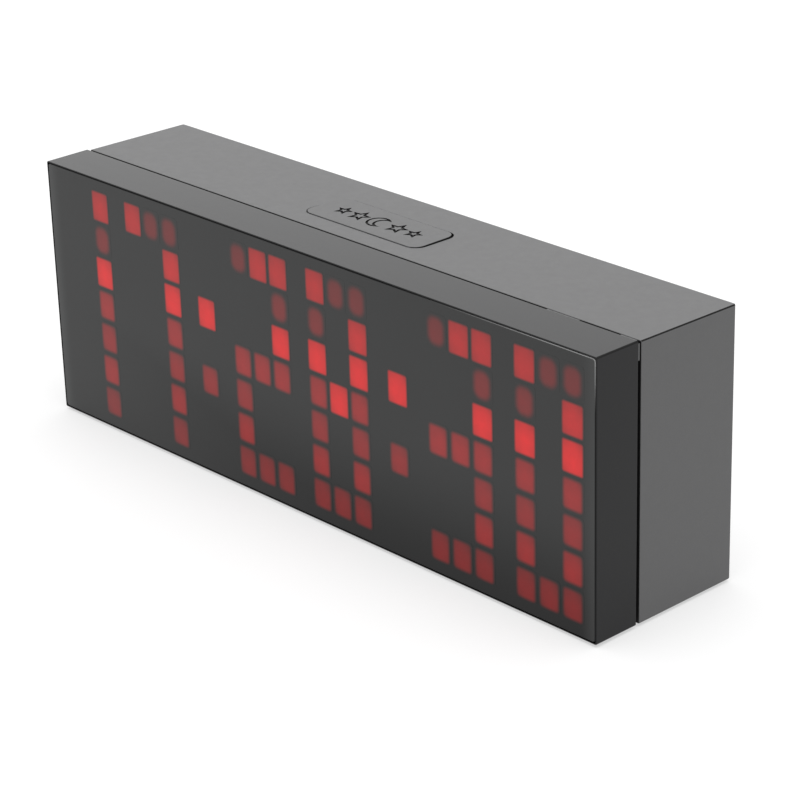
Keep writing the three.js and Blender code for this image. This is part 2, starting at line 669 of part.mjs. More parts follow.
function rearHousing() {
  const shell = cut(housingOuter(), housingHollow());
  const solid = join(
    shell,
    housingLip(),
    ...seamKeys(),
    ...housingPosts(),
    trayBody(),
    controlRecess(PLATE_BACK, HOUSING_WALL / 2, HOUSING_WALL / 2),
    buzzerRing(),
  );
  const snoozeHole = toSolid(
    drawnAlongZ(snoozeOutline(SNOOZE_GAP), WALL_UNDERSIDE - OVER, HALF_HEIGHT + OVER),
  );
  const [inside, outside] = [back(HOUSING_WALL + OVER), back(-OVER)];
  const noseHole = rodY(JACK_X, JACK_Z, JACK_NOSE + 2 * FIT, inside, outside, MANY_SIDES);
  const recess = controlRecess(RECESS_DEPTH, -OVER, 0);
  return cut(
    solid,
    snoozeHole.translate([0, front(SNOOZE_BACKSET), 0]),
    noseHole,
    recess,
    ...controlHoles(),
    ...soundHoles(),
    ...housingScrewHoles(),
    ...trayHollows(),
    ...footPockets(back(BACK_FOOT_INSET)),
  );
}

// A low collar on the inside of the back that centres the buzzer.
function buzzerRing() {
  const [y0, y1] = [back(HOUSING_WALL + COLLAR_HEIGHT), back(HOUSING_WALL / 2)];
  const inside = BUZZER + 2 * FIT;
  const outer = rodY(BUZZER_X, BUZZER_Z, inside + 2 * COLLAR_WALL, y0, y1, MANY_SIDES);
  return cut(outer, rodY(BUZZER_X, BUZZER_Z, inside, y0 - OVER, back(HOUSING_WALL), MANY_SIDES));
}

// ---- Snooze button, its switch and its board ----

function snoozeButton() {
  const plug = drawnAlongZ(snoozeOutline(0), SNOOZE_BOTTOM, SNOOZE_TOP);
  const flangeTop = SNOOZE_BOTTOM + SNOOZE_FLANGE_HEIGHT;
  const flange = drawnAlongZ(snoozeOutline(SNOOZE_FLANGE), SNOOZE_BOTTOM, flangeTop);
  return join(toSolid(plug), toSolid(flange));
}

// A tact switch's body with its bore, standing on Z = 0, turned to face +Z.
function tactBody() {
  const half = SWITCH_SIZE / 2;
  const boreFloor = SWITCH_HEIGHT - SWITCH_BORE_DEPTH;
  const bore = rodZ(0, 0, PLUNGER + 2 * BORE_FIT, boreFloor, SWITCH_HEIGHT + OVER, FEW_SIDES);
  return cut(box([-half, -half, 0], [half, half, SWITCH_HEIGHT]), bore);
}

function tactPlunger() {
  return rodZ(0, 0, PLUNGER, SWITCH_HEIGHT - PLUNGER_DEPTH, SWITCH_HEIGHT + PLUNGER_RISE, FEW_SIDES);
}

function snoozeBoard() {
  const half = SNOOZE_BOSS_X + STANDOFF / 2;
  const plate = box([-half, -SNOOZE_BOARD_WIDTH / 2, -BOARD], [half, SNOOZE_BOARD_WIDTH / 2, 0]);
  const holes = [-1, 1].map((side) =>
    rodZ(side * SNOOZE_BOSS_X, 0, SMALL_SHANK + 2 * BORE_FIT, -BOARD - OVER, OVER, FEW_SIDES),
  );
  return cut(plate, ...holes);
}

// A screw along its own Z, its head's underside at Z = 0 and its shank up to +length.
function screw(shank, head, headHeight, length) {
  const profile = [
    [0, -headHeight],
    [head / 2, -headHeight],
    [head / 2, 0],
    [shank / 2, 0],
    [shank / 2, length],
    [0, length],
  ];
  return toSolid(turned(profile, FEW_SIDES).rotateX(Math.PI / 2));
}

const boardScrew = () => screw(SMALL_SHANK, SMALL_HEAD, SMALL_HEAD_HEIGHT, SMALL_SCREW - SEAT);

function addSnooze() {
  const group = new THREE.Group();
  group.position.y = front(SNOOZE_BACKSET);
  clock.add(group);
  const seat = [0, 0, SNOOZE_BOARD_TOP + SEAT];
  place(group, "snooze_button", snoozeButton(), darkPlastic);
  place(group, "snooze_board", snoozeBoard(), boardGreen, [0, 0, SNOOZE_BOARD_TOP]);
  place(group, "snooze_switch", tactBody(), chipBlack, seat);
  place(group, "snooze_plunger", tactPlunger(), blackPlastic, seat);
  [-1, 1].forEach((side, i) => {
    const position = [side * SNOOZE_BOSS_X, 0, SNOOZE_BOARD_TOP - BOARD - SEAT];
    place(group, "snooze_board_screw_" + (i + 1), boardScrew(), steel, position);
  });
}

// ---- Main board and what is on it ----

function mainBoard() {
  const [y0, y1] = [back(MAIN_BOARD_FRONT), back(MAIN_BOARD_BACK)];
  const plate = box([BOARD_START, y0, BOARD_BOTTOM], [BOARD_END, y1, BOARD_TOP]);
  const holes = STANDOFFS.map(({ x, z }) =>
    rodY(x, z, SMALL_SHANK + 2 * BORE_FIT, y0 - OVER, y1 + OVER, FEW_SIDES),
  );
  return cut(plate, ...holes);
}

// A rear button: a domed round tip over a wider flange, turned about Y, its tip towards +Y.
function rearButton() {
  const height = BUTTON_BOTTOM - BUTTON_SINK;
  const dome = BUTTON_DOME;
  return turned(
    [
      [0, 0],
      [BUTTON / 2 + BUTTON_FLANGE, 0],
      [BUTTON / 2 + BUTTON_FLANGE, BUTTON_FLANGE_HEIGHT],
      [BUTTON / 2, BUTTON_FLANGE_HEIGHT],
      [BUTTON / 2, height - dome],
      [BUTTON / 2 - dome, height - dome / 4],
      [0, height],
    ],
    MANY_SIDES,
  );
}

// Each switch stands on the board's back face with its plunger towards +Y.
function addRearButtons() {
  BUTTON_NAMES.forEach((name, i) => {
    const x = buttonX(i);
    const foot = [x, BOARD_BACK_FACE + SEAT, CONTROLS_Z];
    place(clock, "button_" + name, rearButton(), blackPlastic, [x, back(BUTTON_BOTTOM), CONTROLS_Z]);
    place(clock, "switch_" + name, tactBody(), chipBlack, foot, TO_BACK);
    place(clock, "plunger_" + name, tactPlunger(), blackPlastic, foot, TO_BACK);
  });
}

function slideSwitchBody() {
  const [length, height, thick] = SLIDE_BODY;
  const slotLength = STEM[0] + SLIDE_TRAVEL + 2 * FIT;
  const slotHalf = STEM[1] / 2 + FIT;
  const slot = box(
    [-slotLength / 2, thick - STEM_DEPTH - FIT, -slotHalf],
    [slotLength / 2, thick + OVER, slotHalf],
  );
  return cut(box([-length / 2, 0, -height / 2], [length / 2, thick, height / 2]), slot);
}

// The slider: a stem in the switch, and a knob with two grip grooves that stands in the recess.
function alarmSlider() {
  const stemBottom = SLIDE_BODY[2] - STEM_DEPTH;
  const knobBottom = SLIDE_BODY[2] + FIT;
  const knobTop = MAIN_BOARD_BACK - SEAT - KNOB_SINK;
  const [kx, kz] = [KNOB[0] / 2, KNOB[1] / 2];
  const [stemX, stemZ] = [STEM[0] / 2, STEM[1] / 2];
  const stem = box([-stemX, stemBottom, -stemZ], [stemX, knobBottom + OVER, stemZ]);
  const knob = box([-kx, knobBottom, -kz], [kx, knobTop, kz]);
  const [grooveWidth, grooveDepth] = GRIP_GROOVE;
  const grooves = [-KNOB[0] / 5, KNOB[0] / 5].map((x) =>
    box(
      [x - grooveWidth / 2, knobTop - grooveDepth, -kz - OVER],
      [x + grooveWidth / 2, knobTop + OVER, kz + OVER],
    ),
  );
  return cut(join(stem, knob), ...grooves);
}

function dcJack() {
  const half = JACK_SIZE / 2;
  const bodyLength = MAIN_BOARD_BACK - SEAT - HOUSING_WALL - FIT;
  const noseLength = MAIN_BOARD_BACK - SEAT - JACK_SINK;
  const body = box([-half, 0, -half], [half, bodyLength, half]);
  const boreEnd = noseLength - JACK_BORE_DEPTH;
  const nose = rodY(0, 0, JACK_NOSE, bodyLength - OVER, noseLength, MANY_SIDES);
  const bore = rodY(0, 0, JACK_BORE, boreEnd, noseLength + OVER, MANY_SIDES);
  const pin = rodY(0, 0, JACK_PIN, boreEnd - JACK_PIN_ROOT, noseLength - JACK_PIN_SINK, FEW_SIDES);
  return join(cut(join(body, nose), bore), pin);
}

function buzzer() {
  const height = MAIN_BOARD_BACK - SEAT - HOUSING_WALL - FIT;
  const body = rodY(0, 0, BUZZER, 0, height, MANY_SIDES);
  const [port, portDepth] = BUZZER_PORT;
  return cut(body, rodY(0, 0, port, height - portDepth, height + OVER, FEW_SIDES));
}

function crystalCan() {
  const [diameter, length] = CRYSTAL;
  return new THREE.CylinderGeometry(diameter / 2, diameter / 2, length, FEW_SIDES).rotateZ(Math.PI / 2);
}

function addMainBoard() {
  const seat = BOARD_BACK_FACE + SEAT;
  const boardFront = back(MAIN_BOARD_FRONT) - SEAT;
  const sliderRest = SLIDER_X - SLIDE_TRAVEL;
  place(clock, "main_board", mainBoard(), boardGreen);
  place(clock, "slide_switch", slideSwitchBody(), nickel, [SLIDER_X - SLIDE_TRAVEL / 2, seat, CONTROLS_Z]);
  place(clock, "alarm_slider", alarmSlider(), blackPlastic, [sliderRest, seat, CONTROLS_Z]);
  place(clock, "dc_jack", dcJack(), blackPlastic, [JACK_X, seat, JACK_Z]);
  place(clock, "buzzer", buzzer(), chipBlack, [BUZZER_X, seat, BUZZER_Z]);
  const chip = box([-CHIP_SIZE / 2, -CHIP_HEIGHT, -CHIP_SIZE / 2], [CHIP_SIZE / 2, 0, CHIP_SIZE / 2]);
  place(clock, "microcontroller", chip, chipBlack, [BUZZER_X, boardFront, CHIP_Z]);
  const crystalX = BUZZER_X + CHIP_SIZE / 2 + CRYSTAL[1];
  place(clock, "clock_crystal", crystalCan(), steel, [crystalX, boardFront - CRYSTAL[0] / 2, CHIP_Z]);
  STANDOFFS.forEach(({ x, z }, i) => {
    place(clock, "board_screw_" + (i + 1), boardScrew(), steel, [x, boardFront, z], TO_BACK);
  });
}

// ---- Ribbon cable and its two connectors ----

function connector(y0, y1) {
  const [length, height] = CONNECTOR;
  return box([-length / 2, y0, -height / 2], [length / 2, y1, height / 2]);
}

// The ribbon rises between the two connectors in a low arch, and is as wide along X everywhere.
function ribbonCable() {
  const thick = CONNECTOR[2];
  const [y0, y1] = [CONNECTOR_FRONT + thick + FIT, CONNECTOR_BACK - thick - FIT];
  const steps = 14;
  const [outer, inner] = [[], []];
  for (let i = 0; i <= steps; i++) {
    const t = i / steps;
    const rise = (RIBBON_RISE * (1 - Math.cos(2 * Math.PI * t))) / 2;
    const slope = (RIBBON_RISE * Math.PI * Math.sin(2 * Math.PI * t)) / (y1 - y0);
    const tilt = Math.hypot(1, slope);
    const [ny, nz] = [(-slope / tilt) * (RIBBON_THICK / 2), (1 / tilt) * (RIBBON_THICK / 2)];
    const y = y0 + (y1 - y0) * t;
    outer.push(new THREE.Vector2(y + ny, rise + nz));
    inner.unshift(new THREE.Vector2(y - ny, rise - nz));
  }
  const options = { depth: RIBBON_WIDTH, bevelEnabled: false };
  const strip = new THREE.ExtrudeGeometry(new THREE.Shape([...outer, ...inner]), options);
  // The shape's X and Y become Y and Z, and the extrusion runs along X.
  strip.applyMatrix4(new THREE.Matrix4().set(0, 0, 1, -RIBBON_WIDTH / 2, 1, 0, 0, 0, 0, 1, 0, 0, 0, 0, 0, 1));
  return strip;
}

function addRibbon() {
  const thick = CONNECTOR[2];
  const origin = [RIBBON_X, 0, RIBBON_Z];
  place(clock, "ribbon_cable", ribbonCable(), ribbonGrey, origin);
  place(clock, "display_connector", connector(CONNECTOR_FRONT, CONNECTOR_FRONT + thick), milky, origin);
  place(clock, "board_connector", connector(CONNECTOR_BACK - thick, CONNECTOR_BACK), milky, origin);
}

// ---- Backup cells, their contacts and the door ----

// A cell lying along X, its nub towards +X, its middle at the origin.
function backupCell() {
  const [nub, nubHeight] = CELL_NUB;
  const [radius, half] = [CELL / 2, CELL_LENGTH / 2];
  const profile = [
    [0, -half],
    [radius - CELL_EDGE, -half],
    [radius, CELL_EDGE - half],
    [radius, half - CELL_EDGE],
    [radius - CELL_EDGE, half],
    [nub / 2, half],
    [nub / 2, half + nubHeight],
    [0, half + nubHeight],
  ];
  return turned(profile, MANY_SIDES).rotateZ(-Math.PI / 2);
}

class Coil extends THREE.Curve {
  constructor(turns, startRadius, endRadius, length) {
    super();
    Object.assign(this, { turns, startRadius, endRadius, length });
  }

  getPoint(t, target = new THREE.Vector3()) {
    const radius = THREE.MathUtils.lerp(this.startRadius, this.endRadius, t);
    const angle = 2 * Math.PI * this.turns * t;
    return target.set(this.length * t, radius * Math.cos(angle), radius * Math.sin(angle));
  }
}

// A conical spring that grows from its contact plate at X = 0 towards +X.
function springContact() {
  const wire = new THREE.Shape();
  wire.absarc(0, 0, SPRING_WIRE / 2, 0, 2 * Math.PI);
  const length = SPRING_ROOM - CONTACT - SPRING_WIRE / 2 - FIT;
  const coil = new Coil(SPRING_TURNS, SPRING_RADII[0], SPRING_RADII[1], length);
  const options = { steps: 18, extrudePath: coil, curveSegments: 3 };
  const half = CONTACT_SIZE / 2;
  const spring = toSolid(new THREE.ExtrudeGeometry(wire, options));
  return join(box([-CONTACT, -half, -half], [0, half, half]), spring);
}

// A flat contact with a raised dimple for the cell's nub, growing towards -X from its plate at X = 0.
function flatContact() {
  const half = CONTACT_SIZE / 2;
  const { base, tip, height, root } = DIMPLE;
  const dimple = new THREE.CylinderGeometry(base, tip, height + root, FEW_SIDES).rotateZ(-Math.PI / 2);
  dimple.translate((root - height) / 2, 0, 0);
  return join(box([0, -half, -half], [CONTACT, half, half]), toSolid(dimple));
}

function addCells() {
  const y = back(CELL_INSET);
  for (let i = 0; i < CELL_COUNT; i++) {
    const z = TRAY_Z + (i - (CELL_COUNT - 1) / 2) * (CELL + CELL_GAP);
    const holder = new THREE.Group();
    holder.position.set(TRAY_X, y, z);
    if (i % 2) holder.rotation.z = Math.PI;
    clock.add(holder);
    const end = TRAY_LENGTH / 2 - FIT;
    const cellX = end - CONTACT - 2 * FIT - CELL_NUB[1] - CELL_LENGTH / 2;
    place(holder, "backup_cell_" + (i + 1), backupCell(), cellJacket, [cellX, 0, 0]);
    place(holder, "spring_contact_" + (i + 1), springContact(), nickel, [CONTACT - end, 0, 0]);
    place(holder, "flat_contact_" + (i + 1), flatContact(), nickel, [end - CONTACT, 0, 0]);
  }
}

function doorOutline(grow, from, to) {
  const [halfX, halfZ] = [TRAY_LENGTH / 2 + DOOR_LEDGE - FIT, TRAY_HEIGHT / 2 + DOOR_LEDGE - FIT];
  return backBlock(TRAY_X, TRAY_Z, halfX + grow, halfZ + grow, TRAY_CORNER, from, to);
}

// The door: a plate with two hooks under the wall at its lower edge and a latch rib at its top.
function batteryDoor() {
  const plateBack = DOOR_SINK + DOOR;
  const hookTop = HOUSING_WALL + FIT;
  const hookBottom = hookTop + HOOK_THICK;
  const hooks = HOOKS_X.map((x) => {
    const [x0, x1] = [x - HOOK_WIDTH / 2, x + HOOK_WIDTH / 2];
    const neckTop = TRAY_Z - TRAY_HEIGHT / 2 + FIT;
    const neck = box([x0, back(hookBottom), DOOR_BOTTOM + FIT], [x1, back(plateBack - DOOR_ROOT), neckTop]);
    return join(neck, box([x0, back(hookBottom), DOOR_BOTTOM - HOOK_REACH], [x1, back(hookTop), neckTop]));
  });
  const ribTop = TRAY_Z + TRAY_HEIGHT / 2 - 2 * FIT;
  const rib = box(
    [TRAY_X - LATCH_RIB.length / 2, back(plateBack + LATCH_RIB.height), ribTop - LATCH_RIB.width],
    [TRAY_X + LATCH_RIB.length / 2, back(plateBack - DOOR_ROOT), ribTop],
  );
  const nailTop = 2 * TRAY_Z - DOOR_BOTTOM - NAIL_SLOT.inset;
  const nail = box(
    [TRAY_X - NAIL_SLOT.length / 2, back(DOOR_SINK + NAIL_SLOT.depth), nailTop - NAIL_SLOT.width],
    [TRAY_X + NAIL_SLOT.length / 2, back(-OVER), nailTop],
  );
  return cut(join(doorOutline(0, plateBack, DOOR_SINK), ...hooks, rib), nail);
}

// ---- Feet and long screws ----

function addFeet() {
  const height = FOOT_TOP + HALF_HEIGHT + FOOT_HEIGHT;
  const foot = new THREE.CylinderGeometry(FOOT / 2, FOOT / 2 - FOOT_TAPER, height, MANY_SIDES);
  foot.rotateX(Math.PI / 2);
  const rows = [["front", front(FRONT_FOOT_DEPTH)], ["back", back(BACK_FOOT_INSET)]];
  for (const [row, y] of rows) {
    for (const [side, sign] of [["left", -1], ["right", 1]]) {
      const position = [sign * (HALF_WIDTH - FOOT_INSET_X), y, FOOT_TOP - height / 2];
      place(clock, "foot_" + row + "_" + side, foot, rubber, position);
    }
  }
}

// A housing screw has a cross recess in its head.
function housingScrew() {
  const [long, narrow] = [CROSS_LENGTH / 2, CROSS_WIDTH / 2];
  const arm = (x, y) => box([-x, -y, -SCREW_HEAD_HEIGHT - OVER], [x, y, -SCREW_HEAD_HEIGHT / 2]);
  const body = screw(SCREW_SHANK, SCREW_HEAD, SCREW_HEAD_HEIGHT, POST_FLOOR + SCREW_REACH);
  return cut(body, arm(long, narrow), arm(narrow, long));
}

function addHousingScrews() {
  const shape = toGeometry(housingScrew());
  SCREWS.forEach(({ x, z }, i) => {
    place(clock, "housing_screw_" + (i + 1), shape, steel, [x, front(HEAD_SEAT) + SEAT, z], TO_FRONT);
  });
}

// ---- Assembly ----

const diffuser = coverSheet(DIFFUSER_FRONT, DIFFUSER_FRONT + DIFFUSER);
place(clock, "front_cover", frontCover(), smoked);
place(clock, "diffuser_sheet", diffuser, milky);
place(clock, "pixel_grid", pixelGrid(), blackPlastic);
place(clock, "led_board", ledBoard(), boardGreen);
place(clock, "rear_housing", rearHousing(), darkPlastic);
addSnooze();
addMainBoard();
addRearButtons();
addRibbon();
addCells();
place(clock, "battery_door", batteryDoor(), darkPlastic);
addFeet();
addHousingScrews();

export default alarmClock;
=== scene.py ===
"""Looks for a dot-matrix alarm clock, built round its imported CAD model.

Metres, in the CAD's frame: X to the viewer's right, Y to the back, Z up. Shapes are drawn in
millimetres, from the middle of the clock in x and z and from its front face in depth.
"""

import math

import bmesh
import bpy
from mathutils import Matrix, Vector


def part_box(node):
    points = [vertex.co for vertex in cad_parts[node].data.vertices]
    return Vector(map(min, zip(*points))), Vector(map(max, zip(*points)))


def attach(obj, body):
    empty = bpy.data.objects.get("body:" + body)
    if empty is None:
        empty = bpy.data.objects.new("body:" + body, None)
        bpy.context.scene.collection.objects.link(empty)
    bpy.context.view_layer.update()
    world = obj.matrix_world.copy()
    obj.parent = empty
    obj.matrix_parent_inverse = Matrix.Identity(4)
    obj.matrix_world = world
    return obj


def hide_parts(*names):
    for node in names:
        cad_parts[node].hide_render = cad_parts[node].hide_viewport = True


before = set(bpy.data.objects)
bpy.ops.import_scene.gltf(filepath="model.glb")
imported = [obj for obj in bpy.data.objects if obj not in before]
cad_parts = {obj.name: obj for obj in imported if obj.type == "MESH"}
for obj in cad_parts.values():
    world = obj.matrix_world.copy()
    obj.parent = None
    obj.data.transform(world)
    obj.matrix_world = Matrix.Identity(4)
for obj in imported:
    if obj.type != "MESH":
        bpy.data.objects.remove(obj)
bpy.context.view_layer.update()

# ---- Sizes, in millimetres ----

MM = 0.001
CORNER_STEPS = 8
FILLET_STEPS = 4
ROUND = 48  # sides of a round piece
SMALL_ROUND = 28
FEW_SIDES = 20
SHARP_ANGLE = math.radians(32)
SLIVER = 1e-6  # metres
OVER = 1  # how far a cutting shape passes the surface that it cuts
HAIR = 0.01  # keeps two faces from coinciding
JOIN = 0.5  # how far a shape reaches into the one that it is joined to
FIT = 0.3
SEAT = 0.05  # under a piece that rests on another
HOLE_EDGE = 0.25
SMALL_EDGE = 0.15

# Front cover and display
FACE_RIM = 0.3  # width of the cover's rim round its face
FACE_GAP = 0.22  # the dark groove between the rim and the face
FACE_INSET = 1.2
FACE_CORNER = 0.9
FACE_EDGE = 0.28
SEAT_CORNER = 0.6  # of the recess that holds the face
COVER_EDGE = 0.2
COVER_CORNER = 0.5
COVER_WALL = 2.4
COVER_INNER_CORNER = 3.0
FACE_WALL = 2.0
FIRST_COLUMN = -99.1
COLUMN_PITCH = 8.0
ROW_PITCH = 9.9
MIDDLE_ROW = 3
DIGIT_STEP = 1.825  # column pitches from one digit to the next
TILE = (7.6, 9.4)
TILE_CORNER = 1.1
TILE_RISE = 0.02

# Rear housing
HOUSING_FRONT = 15.55
HOUSING_WALL = 2.2
HOUSING_CORNER = 0.4
BACK_ROUND = 0.8  # of the back's upright edges
BACK_EDGE = 0.25  # of its top and bottom edges
TOP_DRAFT = 0.47  # how much lower its top is at the back than at the seam
SEAM_EDGE = 0.16
LIP_FRONT = 13.45
LIP_WALL = 1.4
LIP_ROOT = 3.0
KEY_X = 81.5
KEY_WIDTH = 11.0
CORNER_KEY = (6.5, 1.2)  # its ends, in from the housing's right side
KEY_DEPTH = 4  # how far the keys and the rib reach into the housing
RIB_THICK = 0.45
RIB_HEIGHT = 4.4
RIB_DROP = 0.5
SOUND_RING = 3.4
SOUND_HOLE = 1.8
SOUND_HOLES = 6  # round the middle one

# Screws, their posts and the feet
SCREW_WELL = 5.6
SCREW_POST = 8.4
POST_FLOOR = 3
HEAD_SEAT = 16.65
SCREW_SHANK = 2.5
SMALL_POST = 2.5  # radius
SCREW_HEAD = 2.5  # radius
SCREW_HEAD_HEIGHT = 2.2
SCREW_DOME = 0.9
CROSS = (1.7, 0.35, 1.2)  # half length, half width and depth of the recess in a screw's head
SCREW_TIP = (0.8, 0.5, 1.1)  # length and the radii of its ends
PAD_EDGE = 0.35
PAD_TAPER = 0.3
THREAD_PITCH = 0.9
THREAD = (1.25, 1.0)  # its radius at the crest and at the root

# Snooze button
SNOOZE_CORNER = 3.2
SNOOZE_GAP = 0.45
SNOOZE_FLANGE = 1.3
SNOOZE_FLANGE_HEIGHT = 1.2
SNOOZE_HOLE_EDGE = 0.1
SNOOZE_HOLE_DEPTH = 5
SNOOZE_HOLE_SHIFT = (0.1, 0.18)  # to the right and back, so that the gap is widest at the right
CAP_SINK = 0.25
CAP_EDGE = 0.14
SIGN_DEPTH = 0.35  # of the grooves that draw the signs on the snooze button
# Each sign is the groove between two outlines. A star's are given by their radii and lie on both
# sides of the middle, and a crescent's by radius, bite and shift.
STARS = ((7.3, 3.6, 1.8), (13.6, 2.9, 1.1))
CRESCENT = ((3.5, 2.3, 1.9), (2.8, 3.0, 1.9))

# Rear controls
RECESS_DEPTH = 1.6
RECESS_HEIGHT = 12.0
RECESS_MARGIN = 7.0
RECESS_CORNER = 2.0
RECESS_EDGE = 0.4
SLIDE_SPACE = 1.5  # more room beside the slider
CONTROL_REACH = 4  # how far the controls' holes go in from the recess's floor
BUTTON = 3.0  # radius
BUTTON_FLANGE = (4.2, 1.0)  # radius and thickness
BUTTON_EDGE = 0.45
BUTTON_CROWN = 0.28
SLOT = (3.4, 1.8, 0.3)  # half length, half height and corner
KNOB = (1.6, 1.5, 0.25)
KNOB_LENGTH = 2.9
KNOB_EDGE = 0.2
KNOB_GROOVE = 0.8  # from the middle groove to the next
GRIP_GROOVE = (0.2, 0.35)  # half width and depth
STEM = (1.2, 0.8, 0.1)
MARK_RISE = 4.75  # of the signs above the controls' middle
MARK_THICK = 0.03
MARK_SIDES = 32
SIGN = 0.95  # radius
SLIDE_SIGNS = 1.6  # from the slider's middle
STROKE = 0.26
THIN_STROKE = 0.22

# DC jack
JACK_NOSE = 7.4
JACK_CASE = (4.5, 4.5, 0.5)
JACK_BORE = 2.95  # radius
JACK_DEPTH = 8.5
JACK_EDGE = 0.3
JACK_PIN = 1.0  # radius
PIN_SIDES = 24
PIN_SINK = 1.0

# Battery door and tray
DOOR = 1.6
DOOR_SINK = 0.3
DOOR_LEDGE = 1.5
DOOR_CORNER = 1
DOOR_EDGE = 0.3
HOOK_REACH = 1.5
HOOK_X = 16
HOOK_HALF = 3
HOOK_NECK = 1.8
HOOK_THICK = 1.5
CATCH = (8, 0.7, 2)  # half length, thickness and depth of the rib at the door's top
NOTCH_DEPTH = 2.4
NOTCH_DROP = 3.3
NOTCH_RISE = 4
TRAY_WALL = 1.5
TRAY_FLOOR = 13.1
TRAY_GROW = 3.3  # of the tray's outside over its hollow
GRIP_RIBS = 5
RIB_HALF = 7  # half length of the first, and how much shorter each next one is
RIB_NARROWING = 0.9
RIBS_DROP = 7  # from the door's top edge
RIBS_PITCH = 1.5
NAIL_GROOVE = (6, 1, 0.9, 0.7)  # half length, half height, corner and depth
NAIL_DROP = 4

# Cells and contacts
FLIPPED = 2  # the cell that lies the other way round
CELL_NUB = (0.9, 1.8, 0.25)  # length, radius and edge
CELL_SHOULDER = 0.5
CELL_END = 0.9  # from its side in to the bare metal of its ends
COIL = (3.1, 1.7)  # the spring's radius at its plate and at its tip
COIL_START = 0.6
COIL_TURNS = 2.6
COIL_STEPS = 90
COIL_WIRE = 0.3
# Their plates, from the outer face inwards: how far along, half size and corner.
SPRING_PLATE = ((0, 3.8, 0.6), (0.1, 4, 0.8), (0.5, 4, 0.8))
FLAT_PLATE = (*SPRING_PLATE[:2], (0.4, 4, 0.8), (0.5, 3.9, 0.7))
DIMPLE = ((0.45, 1.5), (0.75, 1.45), (0.95, 1.1), (1, 0.6))  # how far along and radius

BUTTONS = ("time", "alarm", "up", "down", "mode")

# ---- Places ----

COVER_LOW, COVER_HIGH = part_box("front_cover")
MIDDLE_Z = (COVER_LOW.z + COVER_HIGH.z) / 2
FRONT_Y = COVER_LOW.y


def span(node):
    """Lowest and highest corner of a CAD node, as (x, depth, z) in millimetres."""
    low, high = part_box(node)
    return [Vector((p.x / MM, (p.y - FRONT_Y) / MM, (p.z - MIDDLE_Z) / MM)) for p in (low, high)]


def middle(node):
    low, high = span(node)
    return (low + high) / 2


def size(node):
    low, high = span(node)
    return high - low


HALF_WIDTH = size("front_cover").x / 2
HALF_HEIGHT = size("front_cover").z / 2
COVER_DEPTH = span("front_cover")[1].y
BACK = span("rear_housing")[1].y
HOUSING_LOW, HOUSING_HIGH = span("rear_housing")
HOUSING_SIDE = HOUSING_HIGH.x


def housing_top(depth):
    """Height of the housing's top at a depth."""
    return HOUSING_HIGH.z - TOP_DRAFT * (depth - HOUSING_FRONT) / (BACK - HOUSING_FRONT)


# ---- Meshes ----


def outline(half_x, half_z, radius, steps=CORNER_STEPS):
    """Points round a rounded rectangle, anticlockwise."""
    points = []
    for turned, (sx, sz) in enumerate(((1, 1), (-1, 1), (-1, -1), (1, -1))):
        for step in range(steps + 1):
            turn = (turned + step / steps) * math.pi / 2
            x = sx * (half_x - radius) + radius * math.cos(turn)
            points.append((x, sz * (half_z - radius) + radius * math.sin(turn)))
    return points


def circle(radius, steps=ROUND):
    turns = [2 * math.pi * i / steps for i in range(steps)]
    return [(radius * math.cos(t), radius * math.sin(t)) for t in turns]


def skin(rings):
    """A closed mesh through rings of equally many points, with both end rings filled."""
    bm = bmesh.new()
    loops = [[bm.verts.new(point) for point in ring] for ring in rings]
    count = len(rings[0])
    for lower, upper in zip(loops, loops[1:]):
        for i in range(count):
            j = (i + 1) % count
            bm.faces.new((lower[i], lower[j], upper[j], upper[i]))
    bm.faces.new(loops[0][::-1])
    bm.faces.new(loops[-1])
    bmesh.ops.recalc_face_normals(bm, faces=bm.faces)
    return bm


def along_depth(rings, x=0.0, z=0.0):
    """A body through (depth, outline) rings, about a line from front to back."""
    return skin([[(x + px, depth, z + pz) for px, pz in ring] for depth, ring in rings])


def along_height(rings, x=0.0, depth=0.0):
    """A body through (z, outline) rings, about an upright line."""
    return skin([[(x + px, depth + py, z) for px, py in ring] for z, ring in rings])


def along_width(rings, depth=0.0, z=0.0):
    """A body through (x, outline) rings, about a line from left to right."""
    return skin([[(x, depth + py, z + pz) for py, pz in ring] for x, ring in rings])


def quarter(radius, steps=FILLET_STEPS):
    """(inwards, onwards) steps of a quarter round, from its wall to its end face."""
    turns = [math.pi / 2 * i / steps for i in range(steps + 1)]
    return [(radius * (1 - math.cos(t)), radius * math.sin(t)) for t in turns]


def block(half_x, half_z, radius, start, end, x=0.0, z=0.0):
    ring = outline(half_x, half_z, radius)
    return along_depth([(start, ring), (end, ring)], x, z)


def rod(x, z, radius, start, end, steps=ROUND):
    ring = circle(radius, steps)
    return along_depth([(start, ring), (end, ring)], x, z)


def back_hole(x, z, radius, start, surface=None, edge=HOLE_EDGE, steps=SMALL_ROUND):
    """A cutter for a round hole whose mouth, in a surface that faces back, is rounded."""
    surface = BACK if surface is None else surface
    rings = [(start, circle(radius, steps))]
    rings += [(surface - edge + on, circle(radius + out, steps)) for out, on in quarter(edge)]
    rings.append((surface + OVER, circle(radius + edge, steps)))
    return along_depth(rings, x, z)


def back_pocket(x, z, half_x, half_z, radius, floor, surface, edge=HOLE_EDGE):
    """A cutter for a rounded pocket whose rim, in a surface that faces back, is rounded."""
    rings = [(floor, outline(half_x, half_z, radius))]
    for out, on in quarter(edge):
        rings.append((surface - edge + on, outline(half_x + out, half_z + out, radius + out)))
    rings.append((surface + OVER, outline(half_x + edge, half_z + edge, radius + edge)))
    return along_depth(rings, x, z)


def box(low, high):
    bm = bmesh.new()
    bmesh.ops.create_cube(bm, size=1)
    low, high = Vector(low), Vector(high)
    for vert in bm.verts:
        vert.co = Vector(low[i] + (vert.co[i] + 0.5) * (high[i] - low[i]) for i in range(3))
    return bm


